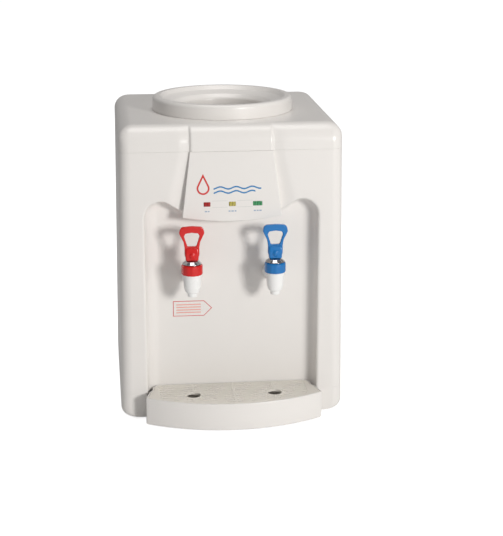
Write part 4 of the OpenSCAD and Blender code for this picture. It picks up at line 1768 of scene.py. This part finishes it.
def even_loop(loop: Sequence[Point2], count: int) -> list[Point2]:
    """Spaces a closed loop's points evenly, from its lowest middle point round.

    Args:
        loop: The loop, anticlockwise.
        count: How many points the result has.

    Returns:
        The evenly spaced loop.
    """
    points = list(loop)
    start = min(range(len(points)), key=lambda i: (round(points[i][1], 3), abs(points[i][0])))
    points = points[start:] + points[:start] + [points[start]]
    lengths = [0.0]
    for a, b in zip(points, points[1:]):
        lengths.append(lengths[-1] + math.dist(a, b))
    made, k = [], 0
    for i in range(count):
        target = lengths[-1] * i / count
        while lengths[k + 1] < target:
            k += 1
        share = (target - lengths[k]) / max(1e-9, lengths[k + 1] - lengths[k])
        (x0, y0), (x1, y1) = points[k], points[k + 1]
        made.append((mix(x0, x1, share), mix(y0, y1, share)))
    return made


def join(first: bpy.types.Object, second: bpy.types.Object) -> bpy.types.Object:
    """Adds the second object's mesh to the first and removes the second.

    Args:
        first: The object that stays.
        second: The object that goes.

    Returns:
        The first object.
    """
    work = bmesh.new()
    work.from_mesh(first.data)
    work.from_mesh(second.data)
    work.to_mesh(first.data)
    work.free()
    bpy.data.objects.remove(second)
    return first


# ---------------------------------------------------------------- drip tray


@dataclass
class DripTray:
    """The bowed tray and the slotted grille that lies in it."""

    front_y: float = -119.0
    nose_y: float = -181.0
    corner: Point2 = (122.0, -146.0)
    shank: Point2 = (115.5, -121.0)
    rear_x: float = 111.0
    rear_y: float = -95.0
    rear_r: float = 14.0
    corner_r: float = 7.0
    floor_z: float = 6.0
    skirt_z: float = 3.0
    top_z: float = 41.0
    wall: float = 5.0
    ledge: float = 2.2
    grille_gap: float = 0.4
    grille_t: float = 3.0
    slot_rows: int = 10
    slot_w: float = 2.4
    rib_hw: float = 1.4
    border: float = 6.0
    tap_x: float = 56.0
    tap_y: float = -141.0
    hole_r: float = 10.0
    ring_r: float = 12.5

    def outline(self) -> list[Point2]:
        """Gives the tray's plan, anticlockwise from the middle of its bow.

        Returns:
            The outline.
        """
        cx, cy = self.corner
        sag = cy - self.nose_y
        bow_r = (cx * cx + sag * sag) / 2 / sag
        end = math.degrees(math.asin(cx / bow_r))
        bow = arc(0.0, self.nose_y + bow_r, bow_r, 270, 270 + end, 26)
        before = bow[-2]
        turn = rounded([(*before, 0), (cx, cy, self.corner_r), (*self.shank, 0)], 8, closed=False)[1:-1]
        kept = [p for p in bow[:-1] if p[0] < turn[0][0] - 0.5]
        rear = arc(self.rear_x - self.rear_r, self.rear_y - self.rear_r, self.rear_r, 0, 90, 8)
        flank = [self.shank, (self.rear_x + 0.5, self.front_y + 3)]
        half = kept + turn + flank + rear + [(50.0, self.rear_y), (0.0, self.rear_y)]
        left = [(-x, y) for x, y in reversed(half) if x > 1e-6]
        return half + left

    def tray(self) -> bpy.types.Object:
        """Builds and fits the tray.

        Returns:
            The piece.
        """
        plan = self.outline()
        t = self.top_z
        section = [
            (2.5, self.floor_z), (2.5, self.skirt_z + 0.4), (2.1, self.skirt_z), (1.2, self.skirt_z),
            (0.5, self.skirt_z + 0.5), (0.0, self.skirt_z + 1.6), (0.0, 20.0), (0.0, t - 1.4),
            (0.25, t - 0.7), (0.7, t - 0.2), (1.3, t),
            (1.9, t), (2.2, t - 0.3), (2.2, t - 3.0), (self.wall, t - 3.0), (self.wall, self.floor_z + 6.0),
            (self.wall + 1.0, self.floor_z + 3.6), (self.wall + 3.4, self.floor_z + 2.5),
        ]
        draft = MeshDraft()
        rows = []
        for inset, z in section:
            moved = offset(plan, inset)
            rear = [y > -122.0 for _, y in plan]
            rows.append([(x, y, max(z, self.floor_z) if back else z) for (x, y), back in zip(moved, rear)])
        draft.loft(rows)
        obj = EVEN.apply(draft.build("tray_shell"))
        return fit(obj, "casing_white", Body.TRAY, ["drip_tray"])

    def grille(self) -> bpy.types.Object:
        """Builds and fits the grille, with its slots and cup holes cut by a node tree.

        Returns:
            The piece.
        """
        plan = self.outline()
        low = self.top_z - self.grille_t
        plate = MeshDraft()
        inset = self.ledge + self.grille_gap
        rows = []
        for extra, z in ((0.3, low), (0.0, low + 0.3), (0.0, self.top_z - 0.4), (0.35, self.top_z - 0.05)):
            rows.append([(x, y, z) for x, y in offset(plan, inset + extra)])
        plate.loft(rows)
        host = plate.build("grille_plate")
        first = self.rear_y - 9.0
        pitch = (first - (self.nose_y + 10.0)) / (self.slot_rows - 1)
        cx, cy = self.corner
        sag = cy - self.nose_y
        bow_r = (cx * cx + sag * sag) / 2 / sag
        tool = NodeTool("grille_slots")
        rows_in = tool.input("Rows", "Int", self.slot_rows)
        pitch_in = tool.input("Pitch", "Float", -pitch * MM)
        width_in = tool.input("Slot width", "Float", self.slot_w * MM)
        side_in = tool.input("Slot half length", "Float", (self.rear_x - inset - self.border) * MM)
        bow_in = tool.input("Bow radius", "Float", (bow_r - inset - self.border) * MM)
        bow_y_in = tool.input("Bow centre", "Float", (self.nose_y + bow_r) * MM)
        rib_in = tool.input("Rib width", "Float", 2 * self.rib_hw * MM)
        hole_in = tool.input("Hole radius", "Float", self.hole_r * MM)
        ring_in = tool.input("Ring radius", "Float", self.ring_r * MM)
        mid = (low + self.top_z) / 2 * MM
        slot = tool.add("GeometryNodeMeshCube", {"Size": tool.vector(2.0, width_in, 0.006)}).outputs["Mesh"]
        line = tool.along(rows_in, (0.0, first * MM, mid), tool.vector(0.0, pitch_in, 0.0))
        place = tool.add("GeometryNodeInputPosition").outputs["Position"]
        y = tool.add("ShaderNodeSeparateXYZ", {"Vector": place}).outputs["Y"]
        away = tool.math("SUBTRACT", bow_y_in, y)
        squares = [tool.math("MULTIPLY", side, side) for side in (bow_in, away)]
        half = tool.math("SQRT", tool.math("SUBTRACT", *squares))
        length = tool.vector(tool.math("MINIMUM", half, side_in), 1.0, 1.0)
        slots = tool.repeat(slot, line, length)
        rib = tool.add("GeometryNodeMeshCube", {"Size": tool.vector(rib_in, 0.2, 0.012)}).outputs["Mesh"]
        under_tap = (-self.tap_x * MM, self.tap_y * MM, mid)
        ribs = tool.repeat(rib, tool.along(3, under_tap, (self.tap_x * MM, 0.0, 0.0)))
        pair = tool.along(2, under_tap, (2 * self.tap_x * MM, 0.0, 0.0))
        discs = []
        for radius, depth in ((ring_in, 0.014), (hole_in, 0.016)):
            disc = {"Vertices": 56, "Radius": radius, "Depth": depth}
            discs.append(tool.add("GeometryNodeMeshCylinder", disc).outputs["Mesh"])
        ring, hole = discs
        slots = tool.cut(slots, [ribs, tool.repeat(ring, pair)])
        cut = tool.cut(tool.entry.outputs["Geometry"], [slots, tool.repeat(hole, pair)])
        made = tool.run(host, cut, FINISHES.get("grille_ivory"))
        obj = EdgeWork(0.0, 0.25, 1, 60).apply(made)
        return fit(obj, "grille_ivory", Body.GRILLE, ["drip_grille"])


# ---------------------------------------------------------------- room, light and camera


@dataclass
class Studio:
    """A plain white table under soft light, and the camera."""

    target: Point3 = (26.36, -119.0, 213.7)
    azimuth: float = -6.215
    elevation: float = 15.93
    distance: float = 1904.0
    lens: float = 93.96
    room_light: float = 0.25
    backdrop: float = 1.0
    table_glow: float = 0.80
    key_azimuth: float = 28.0
    key_elevation: float = 13.5
    key_distance: float = 3.0
    key_size: float = 0.5
    key_power: float = 51.0
    key_colour: Colour = (1.0, 0.985, 0.965)
    top_place: Point3 = (0.0, 0.1, 2.4)
    top_size: float = 1.2
    top_power: float = 17.0
    top_colour: Colour = (1.0, 0.975, 0.96)

    def camera(self) -> None:
        """Sets the camera."""
        a, e = math.radians(self.azimuth), math.radians(self.elevation)
        back = Vector((math.sin(a) * math.cos(e), -math.cos(a) * math.cos(e), math.sin(e)))
        data = bpy.data.cameras.new("camera")
        data.sensor_width, data.sensor_fit, data.lens = 36.0, "AUTO", self.lens
        data.clip_start, data.clip_end = 0.05, 50.0
        camera = bpy.data.objects.new("camera", data)
        camera.location = (Vector(self.target) + back * self.distance) * MM
        camera.rotation_mode = "QUATERNION"
        camera.rotation_quaternion = (-back).to_track_quat("-Z", "Y")
        bpy.context.scene.collection.objects.link(camera)
        bpy.context.scene.camera = camera

    def floor(self) -> None:
        """Adds the pale table top."""
        draft = MeshDraft()
        draft.skin([[(x, y, 0.0) for x in spread(-9000, 9000, 12)] for y in spread(-9000, 9000, 12)])
        table = draft.build("table_top", inside=(0, 0, -500))
        r = Recipe("table_white")
        shades = [(0.3, (0.88, 0.88, 0.88)), (0.7, (0.90, 0.90, 0.90))]
        r.set(Base_Color=r.ramp(r.noise(6.0), shades), Roughness=0.9)
        seen = r.add("ShaderNodeLightPath").outputs["Is Camera Ray"]
        glow = r.add("ShaderNodeMath", {0: seen, 1: self.table_glow}, operation="MULTIPLY").outputs["Value"]
        r.set(Emission_Color=(1.0, 1.0, 1.0, 1.0), Emission_Strength=glow)
        table.data.materials.append(r.material)

    def area(self, name: str, place: Point3, size: float, power: float, colour: Colour) -> None:
        """Adds one soft light that faces the object.

        Args:
            name: The light's name.
            place: Its place in metres.
            size: Its side in metres.
            power: Its power in watts.
            colour: Its colour.
        """
        data = bpy.data.lights.new(name, "AREA")
        data.energy, data.size, data.color = power, size, colour
        light = bpy.data.objects.new(name, data)
        light.location = place
        light.rotation_mode = "QUATERNION"
        light.rotation_quaternion = (Vector((0.0, 0.0, 0.2)) - Vector(place)).to_track_quat("-Z", "Y")
        bpy.context.scene.collection.objects.link(light)

    def build(self) -> None:
        """Sets up the room."""
        scene = bpy.context.scene
        scene.view_settings.view_transform = "Standard"
        world = bpy.data.worlds.new("room")
        world.use_nodes = True
        tree = world.node_tree
        path = tree.nodes.new("ShaderNodeLightPath")
        level = tree.nodes.new("ShaderNodeMapRange")
        level.inputs["To Min"].default_value = self.room_light
        level.inputs["To Max"].default_value = self.backdrop
        tree.links.new(path.outputs["Is Camera Ray"], level.inputs["Value"])
        tree.links.new(level.outputs["Result"], tree.nodes["Background"].inputs["Strength"])
        tree.nodes["Background"].inputs["Color"].default_value = (1.0, 1.0, 1.0, 1.0)
        scene.world = world
        self.camera()
        self.floor()
        a, e = math.radians(self.key_azimuth), math.radians(self.key_elevation)
        d = self.key_distance
        key = (d * math.sin(a) * math.cos(e), -d * math.cos(a) * math.cos(e), 0.2 + d * math.sin(e))
        self.area("key_light", key, self.key_size, self.key_power, self.key_colour)
        self.area("top_light", self.top_place, self.top_size, self.top_power, self.top_colour)


def main() -> None:
    """Builds the dispenser, piece by piece, and its room."""
    logging.basicConfig(level=logging.INFO, format="%(name)s: %(message)s")
    Studio().build()
    FINISHES.dress_frame()
    form = CasingForm()
    BaseTub(form).build()
    FrontShell(form).build()
    TopCover(form).build()
    sides = SideShell(form)
    sides.build("left_side_shell", -1, "left_side_panel")
    sides.build("right_side_shell", 1, "right_side_panel")
    panel = IndicatorPanel(form)
    panel.build()
    panel.dress()
    ArrowSticker().build()
    seat = BottleSeat()
    seat.collar()
    seat.funnel()
    Tap("hot", -56.0, "hot_red", Body.HOT_HANDLE).build()
    Tap("cold", 56.0, "cold_blue", Body.COLD_HANDLE).build()
    tray = DripTray()
    tray.tray()
    tray.grille()


if __name__ == "__main__":
    main()
